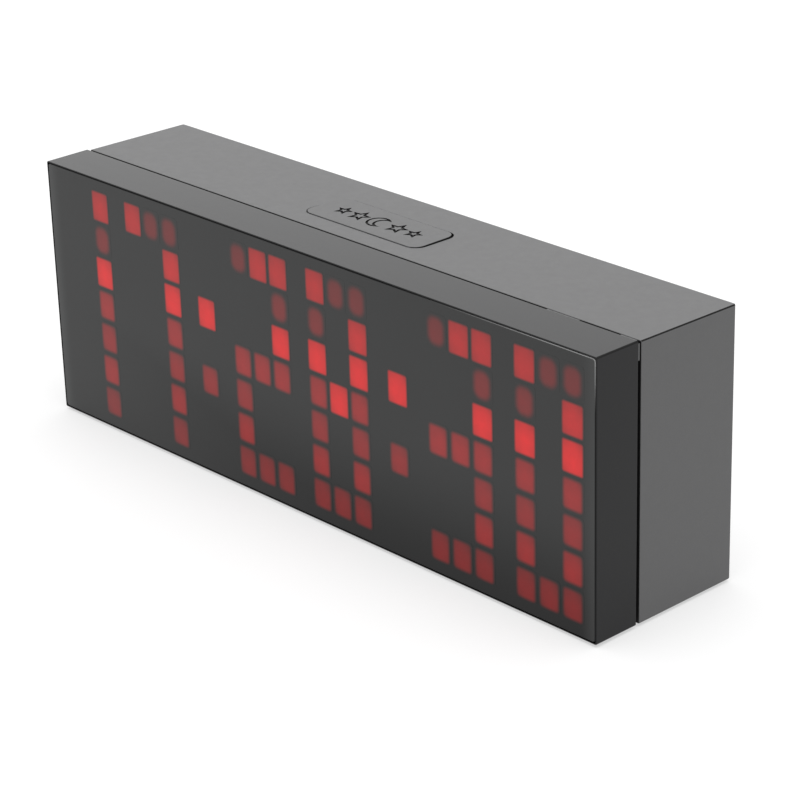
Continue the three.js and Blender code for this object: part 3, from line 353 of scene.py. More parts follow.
def temporary(bm):
    mesh = bpy.data.meshes.new("temporary")
    bm.to_mesh(mesh)
    bm.free()
    obj = bpy.data.objects.new("temporary", mesh)
    bpy.context.scene.collection.objects.link(obj)
    return obj


def combine(base, pieces, operation):
    """base with the pieces joined to it or cut from it."""
    objects = [temporary(bm) for bm in (base, *pieces)]
    for cutter in objects[1:]:
        step = objects[0].modifiers.new("step", "BOOLEAN")
        step.operation, step.solver, step.object = operation, "MANIFOLD", cutter
    graph = bpy.context.evaluated_depsgraph_get()
    made = bpy.data.meshes.new_from_object(objects[0].evaluated_get(graph))
    result = bmesh.new()
    result.from_mesh(made)
    bpy.data.meshes.remove(made)
    for obj in objects:
        mesh = obj.data
        bpy.data.objects.remove(obj)
        bpy.data.meshes.remove(mesh)
    return result


def join(base, *pieces):
    return combine(base, pieces, "UNION")


def cut(base, *pieces):
    return combine(base, pieces, "DIFFERENCE")


def together(*pieces):
    """Separate bodies as one mesh."""
    whole = bmesh.new()
    for bm in pieces:
        mesh = bpy.data.meshes.new("temporary")
        bm.to_mesh(mesh)
        bm.free()
        whole.from_mesh(mesh)
        bpy.data.meshes.remove(mesh)
    return whole


def make(name, bm, body, looks, replaced=(), second=None):
    """A piece of the clock from a mesh in millimetres, riding on a CAD body.

    looks is a material or several. The faces that second picks take the second of them.
    """
    if second:
        for face in bm.faces:
            face.material_index = int(second(face.calc_center_median(), face.normal))
    for vert in bm.verts:
        x, depth, z = vert.co
        vert.co = (x * MM, FRONT_Y + depth * MM, MIDDLE_Z + z * MM)
    bmesh.ops.dissolve_degenerate(bm, dist=SLIVER, edges=bm.edges)
    for face in bm.faces:
        face.smooth = True
    for edge in bm.edges:
        edge.smooth = edge.calc_face_angle(math.pi) < SHARP_ANGLE
    mesh = bpy.data.meshes.new(name)
    bm.to_mesh(mesh)
    bm.free()
    obj = bpy.data.objects.new(name, mesh)
    bpy.context.scene.collection.objects.link(obj)
    normals = obj.modifiers.new("normals", "WEIGHTED_NORMAL")
    normals.keep_sharp = True
    for look in looks if isinstance(looks, tuple) else (looks,):
        mesh.materials.append(look)
    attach(obj, body)
    if replaced:
        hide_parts(*replaced)
    return obj


# ---- Materials ----

NOISE = (0.3, 0.7)  # noise mostly lies between these

class Look:
    """A procedural material, with short ways to add the nodes that feed its shader."""

    def __init__(self, name, color, roughness, specular=0.5, metallic=0.0):
        self.material = bpy.data.materials.new(name)
        self.material.use_nodes = True
        self.tree = self.material.node_tree
        self.shader = self.tree.nodes["Principled BSDF"]
        self.set("Base Color", (*color, 1))
        self.set("Roughness", roughness)
        self.set("Specular IOR Level", specular)
        self.set("Metallic", metallic)
        self.color = color
        self.place = self.add("ShaderNodeTexCoord").outputs["Object"]

    def add(self, kind, **settings):
        node = self.tree.nodes.new(kind)
        for key, value in settings.items():
            setattr(node, key, value)
        return node

    def link(self, source, target):
        self.tree.links.new(source, target)

    def set(self, socket, value):
        self.shader.inputs[socket].default_value = value

    def feed(self, source, socket):
        self.link(source, self.shader.inputs[socket])

    def stretched(self, x, y, z):
        """Object coordinates, times a factor along each axis."""
        node = self.add("ShaderNodeMapping")
        node.inputs["Scale"].default_value = (x, y, z)
        self.link(self.place, node.inputs["Vector"])
        return node.outputs["Vector"]

    def noise(self, grain, detail=2.0, vector=None, roughness=0.5):
        """Noise whose lumps are about grain millimetres across, from 0 to 1."""
        node = self.add("ShaderNodeTexNoise")
        node.inputs["Scale"].default_value = 1 / (grain * MM)
        node.inputs["Detail"].default_value = detail
        node.inputs["Roughness"].default_value = roughness
        self.link(vector or self.place, node.inputs["Vector"])
        return node.outputs["Fac"]

    def spread(self, source, low, high, start=0.0, end=1.0, smooth=False):
        """source from start to end, made a value from low to high."""
        node = self.add("ShaderNodeMapRange")
        node.interpolation_type = "SMOOTHSTEP" if smooth else "LINEAR"
        ends = {"From Min": start, "From Max": end, "To Min": low, "To Max": high}
        for key, value in ends.items():
            node.inputs[key].default_value = value
        self.link(source, node.inputs["Value"])
        return node.outputs["Result"]

    def math(self, operation, first, second=None):
        node = self.add("ShaderNodeMath", operation=operation)
        for i, value in enumerate((first, second)):
            if value is None:
                continue
            if isinstance(value, (int, float)):
                node.inputs[i].default_value = value
            else:
                self.link(value, node.inputs[i])
        return node.outputs["Value"]

    def mix(self, share, low, high):
        """A colour between low and high, each a colour or an output."""
        node = self.add("ShaderNodeMix", data_type="RGBA")
        self.link(share, node.inputs["Factor"])
        for key, value in (("A", low), ("B", high)):
            socket = next(s for s in node.inputs if s.name == key and s.type == "RGBA")
            if isinstance(value, tuple):
                socket.default_value = (*value, 1)
            else:
                self.link(value, socket)
        return next(s for s in node.outputs if s.type == "RGBA")

    def shade(self, share, change):
        """The base colour, made darker and lighter by a share of itself."""
        low = tuple(c * (1 - change) for c in self.color)
        high = tuple(c * (1 + change) for c in self.color)
        self.feed(self.mix(share, low, high), "Base Color")

    def bump(self, height, depth, strength=1.0, under=None):
        """Relief depth millimetres high, over the relief under."""
        node = self.add("ShaderNodeBump")
        node.inputs["Strength"].default_value = strength
        node.inputs["Distance"].default_value = depth * MM
        self.link(height, node.inputs["Height"])
        if under is not None:
            self.link(under, node.inputs["Normal"])
        self.feed(node.outputs["Normal"], "Normal")
        return node.outputs["Normal"]


def satin_plastic(name, color, roughness, grain=0.35, depth=0.012, specular=0.5):
    """Moulded plastic with a fine spark-eroded grain."""
    look = Look(name, color, roughness, specular)
    fine = look.noise(grain, 3)
    look.shade(look.spread(fine, 0, 1, *NOISE), 0.05)
    rough = look.spread(look.noise(2.2, 4), roughness - 0.02, roughness + 0.02, *NOISE)
    look.feed(rough, "Roughness")
    look.bump(fine, depth)
    return look


def gloss_plastic(name, color, roughness, specular):
    """Polished black plastic: a faint waviness, hairline rubbing and a little dust."""
    look = Look(name, color, roughness, specular)
    wave = look.noise(5, 2)
    hair = look.noise(0.6, 3, look.stretched(0.06, 1.2, 1.0))
    look.feed(look.spread(hair, roughness * 0.8, roughness * 1.35, 0.35, 0.7), "Roughness")
    dust = look.spread(look.noise(0.45, 2), 0, 1, 0.66, 0.78)
    look.feed(look.mix(dust, color, tuple(c * 1.6 + 0.002 for c in color)), "Base Color")
    look.bump(wave, 0.004)
    return look


def brushed_metal(name, color, roughness, stretch=(0.08, 1.0, 1.0)):
    look = Look(name, color, roughness, metallic=1.0)
    lines = look.noise(0.22, 4, look.stretched(*stretch))
    stain = look.noise(3, 3)
    look.shade(look.spread(stain, 0, 1, *NOISE), 0.12)
    look.feed(look.spread(lines, roughness - 0.08, roughness + 0.14, *NOISE), "Roughness")
    look.bump(lines, 0.006)
    return look


def rubber_look(name):
    look = Look(name, (0.014, 0.014, 0.014), 0.82, 0.35)
    look.shade(look.noise(1.5, 3), 0.3)
    look.bump(look.noise(0.2, 3), 0.02)
    return look


def board_look(name):
    """Green solder mask over copper tracks, with bare pads between them."""
    look = Look(name, (0.012, 0.09, 0.03), 0.35)
    tracks = look.add("ShaderNodeTexBrick", offset=0.37)
    sizes = {"Scale": 160, "Mortar Size": 0.05, "Brick Width": 1.7, "Row Height": 0.36}
    for key, value in sizes.items():
        tracks.inputs[key].default_value = value
    turn = look.add("ShaderNodeMapping")
    turn.inputs["Rotation"].default_value = (math.pi / 2, 0, 0)
    look.link(look.place, turn.inputs["Vector"])
    look.link(turn.outputs["Vector"], tracks.inputs["Vector"])
    copper = look.mix(tracks.outputs["Fac"], look.color, (0.02, 0.15, 0.045))
    dots = look.add("ShaderNodeTexVoronoi")
    dots.inputs["Scale"].default_value = 330
    look.link(look.place, dots.inputs["Vector"])
    pads = look.spread(dots.outputs["Distance"], 1, 0, 0.12, 0.16)
    look.feed(look.mix(pads, copper, (0.42, 0.40, 0.36)), "Base Color")
    look.feed(look.spread(look.noise(0.8), 0.28, 0.42), "Roughness")
    look.bump(tracks.outputs["Fac"], 0.02)
    return look


def package_look(name):
    look = Look(name, (0.01, 0.01, 0.011), 0.5)
    look.shade(look.noise(0.4, 3), 0.35)
    look.bump(look.noise(0.12, 3), 0.012)
    return look


def film_look(name):
    look = Look(name, (0.68, 0.68, 0.66), 0.65)
    look.shade(look.noise(6, 3), 0.03)
    look.bump(look.noise(0.15, 2), 0.01)
    return look


RIBBON_PITCH = 1.09
WAVES = 20  # waves of the wave texture in a length of one, at scale 1


def ribbon_look(name):
    """Grey cores side by side."""
    look = Look(name, (0.32, 0.32, 0.33), 0.5)
    wave = look.add("ShaderNodeTexWave", bands_direction="X")
    wave.inputs["Scale"].default_value = 1 / (RIBBON_PITCH * MM * WAVES)
    look.link(look.place, wave.inputs["Vector"])
    look.feed(look.mix(wave.outputs["Fac"], (0.2, 0.2, 0.21), look.color), "Base Color")
    look.bump(wave.outputs["Fac"], 0.25)
    return look


def jacket_look(name):
    """A cell's printed jacket: plain blue with a fine metallic sheen and light scuffs."""
    look = Look(name, (0.03, 0.1, 0.2), 0.34, metallic=0.35)
    look.shade(look.noise(5, 3), 0.12)
    scuffs = look.noise(0.4, 4, look.stretched(0.2, 1, 1))
    look.feed(look.spread(scuffs, 0.28, 0.5, 0.4, 0.75), "Roughness")
    look.bump(look.noise(7, 2), 0.02)
    return look


# FACE_HIGH to FACE_LOW is painted shade: the face's base colour darkens towards its lower right.
FACE_HIGH = (0.028, 0.0285, 0.0285)  # the face's colour over most of it
FACE_LOW = (0.0065, 0.0067, 0.0067)  # towards its lower right
FACE_END = (0.055, 0.056, 0.056)  # and at its very ends
FACE_ROUGHNESS = 0.34
FACE_MARGIN = 5.5  # how far the lighter border reaches in from the face's ends
FACE_BORDER = (0.85, 0.4)  # its strength at the left and at the right end


def face_look(name):
    """The frosted, smoked face, lighter at its ends. Its darkening towards the lower right is
    painted shade: the base colour stands in for the shaded floor near the clock that the face's
    lower part reflects.
    """
    look = Look(name, FACE_HIGH, FACE_ROUGHNESS, 0.2)
    parts = look.add("ShaderNodeSeparateXYZ")
    look.link(look.place, parts.inputs["Vector"])
    side = HALF_WIDTH * MM
    up = look.spread(parts.outputs["Z"], 0, 1, COVER_LOW.z, MIDDLE_Z, True)
    left = look.spread(parts.outputs["X"], 1, 0, -side, 0.3 * side, True)
    cloud = look.spread(look.noise(30, 2), 0.95, 1.0, *NOISE)
    # Painted shade: lighter over the top and the left end, darker towards the lower right.
    share = look.math("MULTIPLY", look.math("MAXIMUM", up, left), cloud)
    reach = look.math("ABSOLUTE", parts.outputs["X"])
    border = look.spread(reach, 0, 1, side - FACE_MARGIN * MM, side, True)
    strength = look.spread(parts.outputs["X"], *FACE_BORDER, -side, side)
    border = look.math("MULTIPLY", border, strength)
    look.feed(look.mix(border, look.mix(share, FACE_LOW, FACE_HIGH), FACE_END), "Base Color")
    low, high = FACE_ROUGHNESS - 0.03, FACE_ROUGHNESS + 0.03
    look.feed(look.spread(look.noise(1.4, 4), low, high, *NOISE), "Roughness")
    look.bump(look.noise(0.18, 2), 0.004)
    return look


def glint_look(name):
    """The face's rounded edge, with a painted highlight: light base colour towards its upper right
    corner, fading to the face's dark colour elsewhere.
    """
    look = Look(name, (0.3, 0.3, 0.3), 0.3, 0.3)
    parts = look.add("ShaderNodeSeparateXYZ")
    look.link(look.place, parts.inputs["Vector"])
    side = HALF_WIDTH * MM
    across = look.spread(parts.outputs["X"], 0, 1, 0.35 * side, side, True)
    start = MIDDLE_Z + 0.6 * HALF_HEIGHT * MM
    up = look.spread(parts.outputs["Z"], 0, 1, start, COVER_HIGH.z, True)
    uneven = look.spread(look.noise(3, 2), 0.8, 1.0, *NOISE)
    share = look.math("MULTIPLY", look.math("MULTIPLY", across, up), uneven)
    # Painted highlight: the base colour turns light towards the upper right.
    look.feed(look.mix(share, FACE_LOW, look.color), "Base Color")
    look.bump(look.noise(0.3, 2), 0.004)
    return look


BRIGHT_FROM = 0.3  # a cell that shines more than this has a crisp edge
DIM_FROM = 0.145  # and one that shines less than this has a wide, round one
BOTTOM_GLOW, TOP_GLOW = 1.08, 0.86
MIDDLE_GLOW, CORNER_GLOW = 1.16, 0.8
SLANT_LOSS = (0.55, 0.25)  # of a dim and a bright cell at their upper right and lower left


def lit_look(name):
    """The face where a lit cell shines through: red that fades towards the cell's edge.

    The UV map holds each tile's own place in millimetres from its middle. The attributes say
    how brightly it shines, how wide its fading edge is and how round its glow is.
    """
    look = face_look(name)
    place = look.add("ShaderNodeUVMap", uv_map="tile")
    parts = look.add("ShaderNodeSeparateXYZ")
    look.link(place.outputs["UV"], parts.inputs["Vector"])

    def read(attribute):
        return look.add("ShaderNodeAttribute", attribute_name=attribute).outputs["Fac"]

    glow, edge, corner = read("glow"), read("edge"), read("corner")
    across = look.math("SUBTRACT", look.math("ABSOLUTE", parts.outputs["X"]), TILE[0] / 2)
    up = look.math("SUBTRACT", look.math("ABSOLUTE", parts.outputs["Y"]), TILE[1] / 2)
    dx = look.math("MAXIMUM", look.math("ADD", across, corner), 0.0)
    dz = look.math("MAXIMUM", look.math("ADD", up, corner), 0.0)
    square = look.math("ADD", look.math("MULTIPLY", dx, dx), look.math("MULTIPLY", dz, dz))
    inside = look.math("SUBTRACT", corner, look.math("SQRT", square))
    share = look.math("DIVIDE", inside, edge)
    fade = look.spread(share, 0, 1, 0, 1, True)
    wide = look.math("DIVIDE", parts.outputs["X"], TILE[0] / 2)
    tall = look.math("DIVIDE", parts.outputs["Y"], TILE[1] / 2)
    reach = look.math("ADD", look.math("MULTIPLY", wide, wide), look.math("MULTIPLY", tall, tall))
    fade = look.math("MULTIPLY", fade, look.spread(reach, MIDDLE_GLOW, CORNER_GLOW, 0, 1.5))
    lower = look.spread(parts.outputs["Y"], BOTTOM_GLOW, TOP_GLOW, -TILE[1] / 2, TILE[1] / 2)
    uneven = look.spread(look.noise(2.5, 2), 0.95, 1.05, *NOISE)
    diagonal = look.math("MULTIPLY", parts.outputs["X"], parts.outputs["Y"])
    slant = look.spread(diagonal, 0, 1, 0, TILE[0] * TILE[1] / 4, True)
    loss = look.math("MULTIPLY", slant, look.spread(glow, *SLANT_LOSS, DIM_FROM, BRIGHT_FROM))
    lower = look.math("MULTIPLY", lower, look.math("SUBTRACT", 1.0, loss))
    strength = look.math("MULTIPLY", look.math("MULTIPLY", fade, glow), lower)
    look.set("Emission Color", (1, 0.002, 0.003, 1))
    look.feed(look.math("MULTIPLY", strength, uneven), "Emission Strength")
    return look


DARK = satin_plastic("dark_satin_plastic", (0.066, 0.066, 0.067), 0.47).material
BLACK = satin_plastic("black_plastic", (0.013, 0.013, 0.014), 0.42, 0.25, 0.01).material
# Painted shade: near-black, almost unreflective plastic put on edge rounds, grooves and hole walls
# in place of their shade and dark reflections.
SHADE = satin_plastic("shaded_plastic", (0.012, 0.012, 0.012), 0.5, 0.25, 0.01, 0.06).material
GLOSS = gloss_plastic("polished_smoked_plastic", (0.008, 0.008, 0.0085), 0.16, 0.2).material
FACE = face_look("frosted_smoked_face").material
GLINT = glint_look("face_edge_painted_highlight").material
LIT = lit_look("lit_cell").material
STEEL = brushed_metal("plated_steel", (0.5, 0.5, 0.51), 0.32).material
NICKEL = brushed_metal("nickel_plate", (0.58, 0.57, 0.53), 0.26, (1.0, 1.0, 0.08)).material
RUBBER = rubber_look("soft_rubber").material
BOARD = board_look("circuit_board").material
PACKAGE = package_look("moulded_package").material
FILM = film_look("diffuser_film").material
NYLON = satin_plastic("white_nylon", (0.66, 0.65, 0.6), 0.45, 0.4, 0.01).material
RIBBON = ribbon_look("ribbon_cores").material
JACKET = jacket_look("cell_jacket").material
MARKING = satin_plastic("pale_marking_ink", (0.42, 0.42, 0.42), 0.55, 0.12, 0.006).material


# ---- Front cover and display ----


def on_edge(normal):
    """Whether a face is on the round between a top and a side. Such rounds take painted shade: a
    near-black colour in place of the dark reflection along them.
    """
    return abs(normal.x) > 0.25 and normal.z > 0.2 and abs(normal.y) < 0.3


def cover_shell():
    rings = []
    for inward, on in reversed(quarter(COVER_EDGE)):
        radius = COVER_CORNER - inward
        rings.append((COVER_EDGE - on, outline(HALF_WIDTH - inward, HALF_HEIGHT - inward, radius)))
    for inward, on in quarter(SMALL_EDGE, 2):
        ring = outline(HALF_WIDTH - inward, HALF_HEIGHT - inward, COVER_CORNER - inward)
        rings.append((COVER_DEPTH - SMALL_EDGE + on, ring))
    shell = along_depth(rings)
    half_x, half_z = HALF_WIDTH - COVER_WALL, HALF_HEIGHT - COVER_WALL
    hollow = block(half_x, half_z, COVER_INNER_CORNER, FACE_WALL, COVER_DEPTH + OVER)
    seat = block(HALF_WIDTH - FACE_RIM, HALF_HEIGHT - FACE_RIM, SEAT_CORNER, -OVER, FACE_INSET)
    pockets = [foot_pocket("foot_front_" + side) for side in ("left", "right")]
    body = cut(shell, hollow, seat, *pockets)

    def in_groove(place, normal):
        """Whether a face takes painted shade: on an edge or lining the groove round the display's
        face.
        """
        out = max(abs(place.x) - HALF_WIDTH, abs(place.z) - HALF_HEIGHT)
        return on_edge(normal) or (place.y < FACE_INSET + HAIR and out < -0.9 * FACE_RIM)

    make("cover_shell", body, "clock", (GLOSS, SHADE), ["front_cover"], in_groove)


def foot_pocket(node):
    low, high = span(node)
    centre, radius = (low + high) / 2, (high.x - low.x) / 2 + FIT
    ring = circle(radius)
    ends = (-HALF_HEIGHT - OVER, high.z + FIT / 2)
    return along_height([(z, ring) for z in ends], centre.x, centre.y)


def cover_face():
    half_x, half_z = HALF_WIDTH - FACE_RIM - FACE_GAP, HALF_HEIGHT - FACE_RIM - FACE_GAP
    rings = []
    for inward, on in reversed(quarter(FACE_EDGE, 5)):
        ring = outline(half_x - inward, half_z - inward, FACE_CORNER - inward)
        rings.append((TILE_RISE + FACE_EDGE - on, ring))
    rings.append((FACE_INSET - 2 * HAIR, outline(half_x, half_z, FACE_CORNER)))

    def rounded(place, normal):
        """Whether a face is on the round along the top or down the right side. These faces take the
        painted highlight.
        """
        return normal.y < -0.05 and (normal.z > 0.2 or normal.x > 0.2)

    make("cover_face", along_depth(rings), "clock", (FACE, GLINT), (), rounded)


# Each digit is three columns of seven cells. "#" is bright and "+" is dim.
GLYPHS = {
    "0": ("#++", "+ #", "# #", "+ +", "+ +", "+ +", "+++"),
    "1": ("  #", "  +", "  #", "  +", "  +", "  +", "  +"),
    "2": ("+##", "  +", "  #", "+++", "+  ", "+  ", "+++"),
    "3": ("+##", "  +", "  #", "+++", "  +", "  +", "+++"),
    "7": ("#++", "  #", "  #", "  +", "  +", "  +", "  +"),
    "8": ("#++", "+ #", "# #", "+#+", "+ +", "+ +", "+++"),
    ":": (" ", " ", "#", " ", "+", " ", " "),
}
SHOWN_TIME = "17:28:30"
# How brightly a bright and a dim cell shine in each row, because the rows are lit in turn.
ROW_GLOW = (
    (0.345, 0.11),
    (0.40, 0.135),
    (0.555, 0.555),
    (0.545, 0.24),
    (0.2, 0.2),
    (0.23, 0.23),
    (0.155, 0.155),
)


def lit_cells():
    """(x, z, glow) of each lit cell."""
    cells = []
    x = FIRST_COLUMN
    for character in SHOWN_TIME:
        rows = GLYPHS[character]
        for row, marks in enumerate(rows):
            for column, mark in enumerate(marks):
                if mark != " ":
                    glow = ROW_GLOW[row]["#+".index(mark)]
                    z = (MIDDLE_ROW - row) * ROW_PITCH
                    cells.append((x + column * COLUMN_PITCH, z, glow))
        x += (len(rows[0]) - 1 + DIGIT_STEP) * COLUMN_PITCH
    return cells


def tile_shape(glow):
    """(width of the fading edge, roundness) of a cell's glow, in millimetres."""
    if glow > BRIGHT_FROM:
        return 0.95, 1.0
    if glow < DIM_FROM:
        return 2.2, 3.2
    return 1.5, 1.6


def display_tiles():
    bm = bmesh.new()
    layers = [bm.verts.layers.float.new(name) for name in ("glow", "edge", "corner")]
    uv = bm.loops.layers.uv.new("tile")
    ring = outline(TILE[0] / 2, TILE[1] / 2, TILE_CORNER)
    for x, z, glow in lit_cells():
        values = (glow, *tile_shape(glow))
        front, back = [
            [bm.verts.new((x + px, depth, z + pz)) for px, pz in ring]
            for depth in (0.0, 2 * TILE_RISE)
        ]
        for vert in (*front, *back):
            for layer, value in zip(layers, values):
                vert[layer] = value
        faces = [bm.faces.new(front), bm.faces.new(back[::-1])]
        for i in range(len(ring)):
            j = (i + 1) % len(ring)
            faces.append(bm.faces.new((front[j], front[i], back[i], back[j])))
        for face in faces:
            for loop in face.loops:
                loop[uv].uv = (loop.vert.co.x - x, loop.vert.co.z - z)
    bmesh.ops.recalc_face_normals(bm, faces=bm.faces)
    make("lit_cells", bm, "clock", LIT)


# ---- Rear housing ----

SCREWS = [middle(f"housing_screw_{i}") for i in range(1, 5)]
SNOOZE = middle("snooze_button")
SNOOZE_SIZE = size("snooze_button")
SNOOZE_HALF = (SNOOZE_SIZE.x / 2 - SNOOZE_FLANGE, SNOOZE_SIZE.y / 2 - SNOOZE_FLANGE)
CAP_TOP = span("snooze_button")[1].z - CAP_SINK
DOOR_LOW, DOOR_HIGH = span("battery_door")
DOOR_X = (DOOR_LOW.x + DOOR_HIGH.x) / 2
DOOR_Z = (DOOR_LOW.z + HOOK_REACH + DOOR_HIGH.z) / 2
DOOR_HALF = ((DOOR_HIGH.x - DOOR_LOW.x) / 2, (DOOR_HIGH.z - DOOR_LOW.z - HOOK_REACH) / 2)
TRAY_HALF = (DOOR_HALF[0] - DOOR_LEDGE, DOOR_HALF[1] - DOOR_LEDGE)
CONTROLS_Z = middle("button_time").z
SLIDE_X = middle("slide_switch").x
RECESS_LEFT = middle("button_time").x - RECESS_MARGIN
RECESS_RIGHT = SLIDE_X + RECESS_MARGIN + SLIDE_SPACE
RECESS_X = (RECESS_LEFT + RECESS_RIGHT) / 2
RECESS_HALF = (RECESS_RIGHT - RECESS_LEFT) / 2
PLATE = BACK - RECESS_DEPTH
IN_WALL = BACK - HOUSING_WALL / 2  # halfway into the back wall
BACK_INSIDE = BACK - HOUSING_WALL
JACK = middle("dc_jack")
BUZZER = middle("buzzer")
WALL_UNDERSIDE = housing_top(SNOOZE.y + SNOOZE_HALF[1] + SNOOZE_FLANGE) - HOUSING_WALL


def housing_ring(depth, inward, down, radius=HOUSING_CORNER):
    """The housing's outline at a depth, drawn in from its sides and from its top and bottom."""
    high, low = housing_top(depth) - down, HOUSING_LOW.z + down
    ring = outline(HOUSING_SIDE - inward, (high - low) / 2, radius)
    return [(x, z + (high + low) / 2) for x, z in ring]


def housing_outer():
    rings = []
    for inward, on in reversed(quarter(SEAM_EDGE, 3)):
        ring = housing_ring(HOUSING_FRONT, inward, inward, HOUSING_CORNER - inward)
        rings.append((HOUSING_FRONT + SEAM_EDGE - on, ring))
    for inward, on in quarter(BACK_ROUND, 8):
        depth = BACK - BACK_ROUND + on
        rings.append((depth, housing_ring(depth, inward, BACK_EDGE * (inward / BACK_ROUND) ** 2)))
    return along_depth(rings)


def housing_hollow():
    ends = (HOUSING_FRONT - OVER, BACK_INSIDE)
    return along_depth([(depth, housing_ring(depth, HOUSING_WALL, HOUSING_WALL)) for depth in ends])


def housing_lip():
    lip_x, lip_z = HALF_WIDTH - COVER_WALL - FIT, HALF_HEIGHT - COVER_WALL - FIT
    end = HOUSING_FRONT + LIP_ROOT
    lip = block(lip_x, lip_z, COVER_INNER_CORNER, LIP_FRONT, end)
    ring = housing_ring(end, HOUSING_WALL / 2, HOUSING_WALL / 2)
    root = along_depth([(HOUSING_FRONT + HAIR, ring), (end, ring)])
    corner = COVER_INNER_CORNER - LIP_WALL
    inside = block(lip_x - LIP_WALL, lip_z - LIP_WALL, corner, LIP_FRONT - OVER, end + OVER)
    return cut(join(lip, root), inside)


def seam_keys():
    """A key on top, a key in the top right corner and a rib down the right side."""
    start, end = COVER_DEPTH + FIT, HOUSING_FRONT + HOUSING_WALL / 2
    top = housing_top(HOUSING_FRONT)
    ends = [(KEY_X - KEY_WIDTH / 2, KEY_X + KEY_WIDTH / 2)]
    ends.append([HOUSING_SIDE - inset for inset in CORNER_KEY])
    keys = [box((low, start, top - KEY_DEPTH), (high, end, top - FIT / 2)) for low, high in ends]
    rib_top = top - RIB_DROP
    low = (HOUSING_SIDE - KEY_DEPTH, start, rib_top - RIB_HEIGHT)
    return [*keys, box(low, (HOUSING_SIDE - FIT / 2, start + RIB_THICK, rib_top))]


def housing_posts():
    start = HEAD_SEAT - POST_FLOOR
    posts = [rod(p.x, p.z, SCREW_POST / 2, start, IN_WALL) for p in SCREWS]
    board = span("main_board")[1].y + SEAT
    for i in range(1, 5):
        place = middle(f"board_screw_{i}")
        posts.append(rod(place.x, place.z, SMALL_POST, board, IN_WALL, SMALL_ROUND))
    ring = circle(SMALL_POST, SMALL_ROUND)
    ends = (span("snooze_board")[1].z + SEAT, WALL_UNDERSIDE + OVER)
    for i in (1, 2):
        place = middle(f"snooze_board_screw_{i}")
        posts.append(along_height([(z, ring) for z in ends], place.x, place.y))
    return posts


def snooze_hole():
    top = housing_top(SNOOZE.y)
    rings = []
    for out, on in [(0, -SNOOZE_HOLE_DEPTH), *quarter(SNOOZE_HOLE_EDGE)]:
        grow = SNOOZE_GAP + out
        ring = outline(SNOOZE_HALF[0] + grow, SNOOZE_HALF[1] + grow, SNOOZE_CORNER + grow)
        rings.append((top - SNOOZE_HOLE_EDGE + on, ring))
    rings.append((HALF_HEIGHT + OVER, rings[-1][1]))
    right, back = SNOOZE_HOLE_SHIFT
    return along_height(rings, SNOOZE.x + right, SNOOZE.y + back)


def tray_hollows():
    hollow = block(*TRAY_HALF, 0.5, BACK - TRAY_FLOOR, BACK + OVER, DOOR_X, DOOR_Z)
    half_x, half_z = DOOR_HALF[0] + FIT, DOOR_HALF[1] + FIT
    floor = BACK - DOOR_SINK - DOOR - SEAT
    hollows = [hollow, back_pocket(DOOR_X, DOOR_Z, half_x, half_z, DOOR_CORNER + FIT, floor, BACK)]
    bottom = DOOR_Z - DOOR_HALF[1]
    inner, top = BACK_INSIDE - NOTCH_DEPTH, bottom + NOTCH_RISE
    for x in (DOOR_X - HOOK_X, DOOR_X + HOOK_X):
        low, high = x - HOOK_HALF - FIT, x + HOOK_HALF + FIT
        hollows.append(box((low, inner, bottom - NOTCH_DROP), (high, BACK_INSIDE, top)))
        hollows.append(box((low, inner, bottom), (high, BACK - DOOR_SINK, top)))
    return hollows


def control_recess():
    half = (RECESS_HALF, RECESS_HEIGHT / 2)
    return back_pocket(RECESS_X, CONTROLS_Z, *half, RECESS_CORNER, PLATE, BACK, RECESS_EDGE)


def control_plate():
    start, grow = PLATE - HOUSING_WALL, HOUSING_WALL / 2
    half = (RECESS_HALF + grow, RECESS_HEIGHT / 2 + grow)
    return block(*half, RECESS_CORNER, start, IN_WALL, RECESS_X, CONTROLS_Z)


def control_holes():
    start = PLATE - CONTROL_REACH
    holes = []
    for name in BUTTONS:
        place = middle("button_" + name)
        holes.append(back_hole(place.x, place.z, BUTTON + FIT, start, PLATE, 0.2))
    slot = back_pocket(SLIDE_X, CONTROLS_Z, *SLOT, start, PLATE, SMALL_EDGE)
    return [*holes, slot]


def sound_places():
    ring = circle(SOUND_RING, SOUND_HOLES)
    return [(BUZZER.x + x, BUZZER.z + z) for x, z in [(0, 0), *ring]]


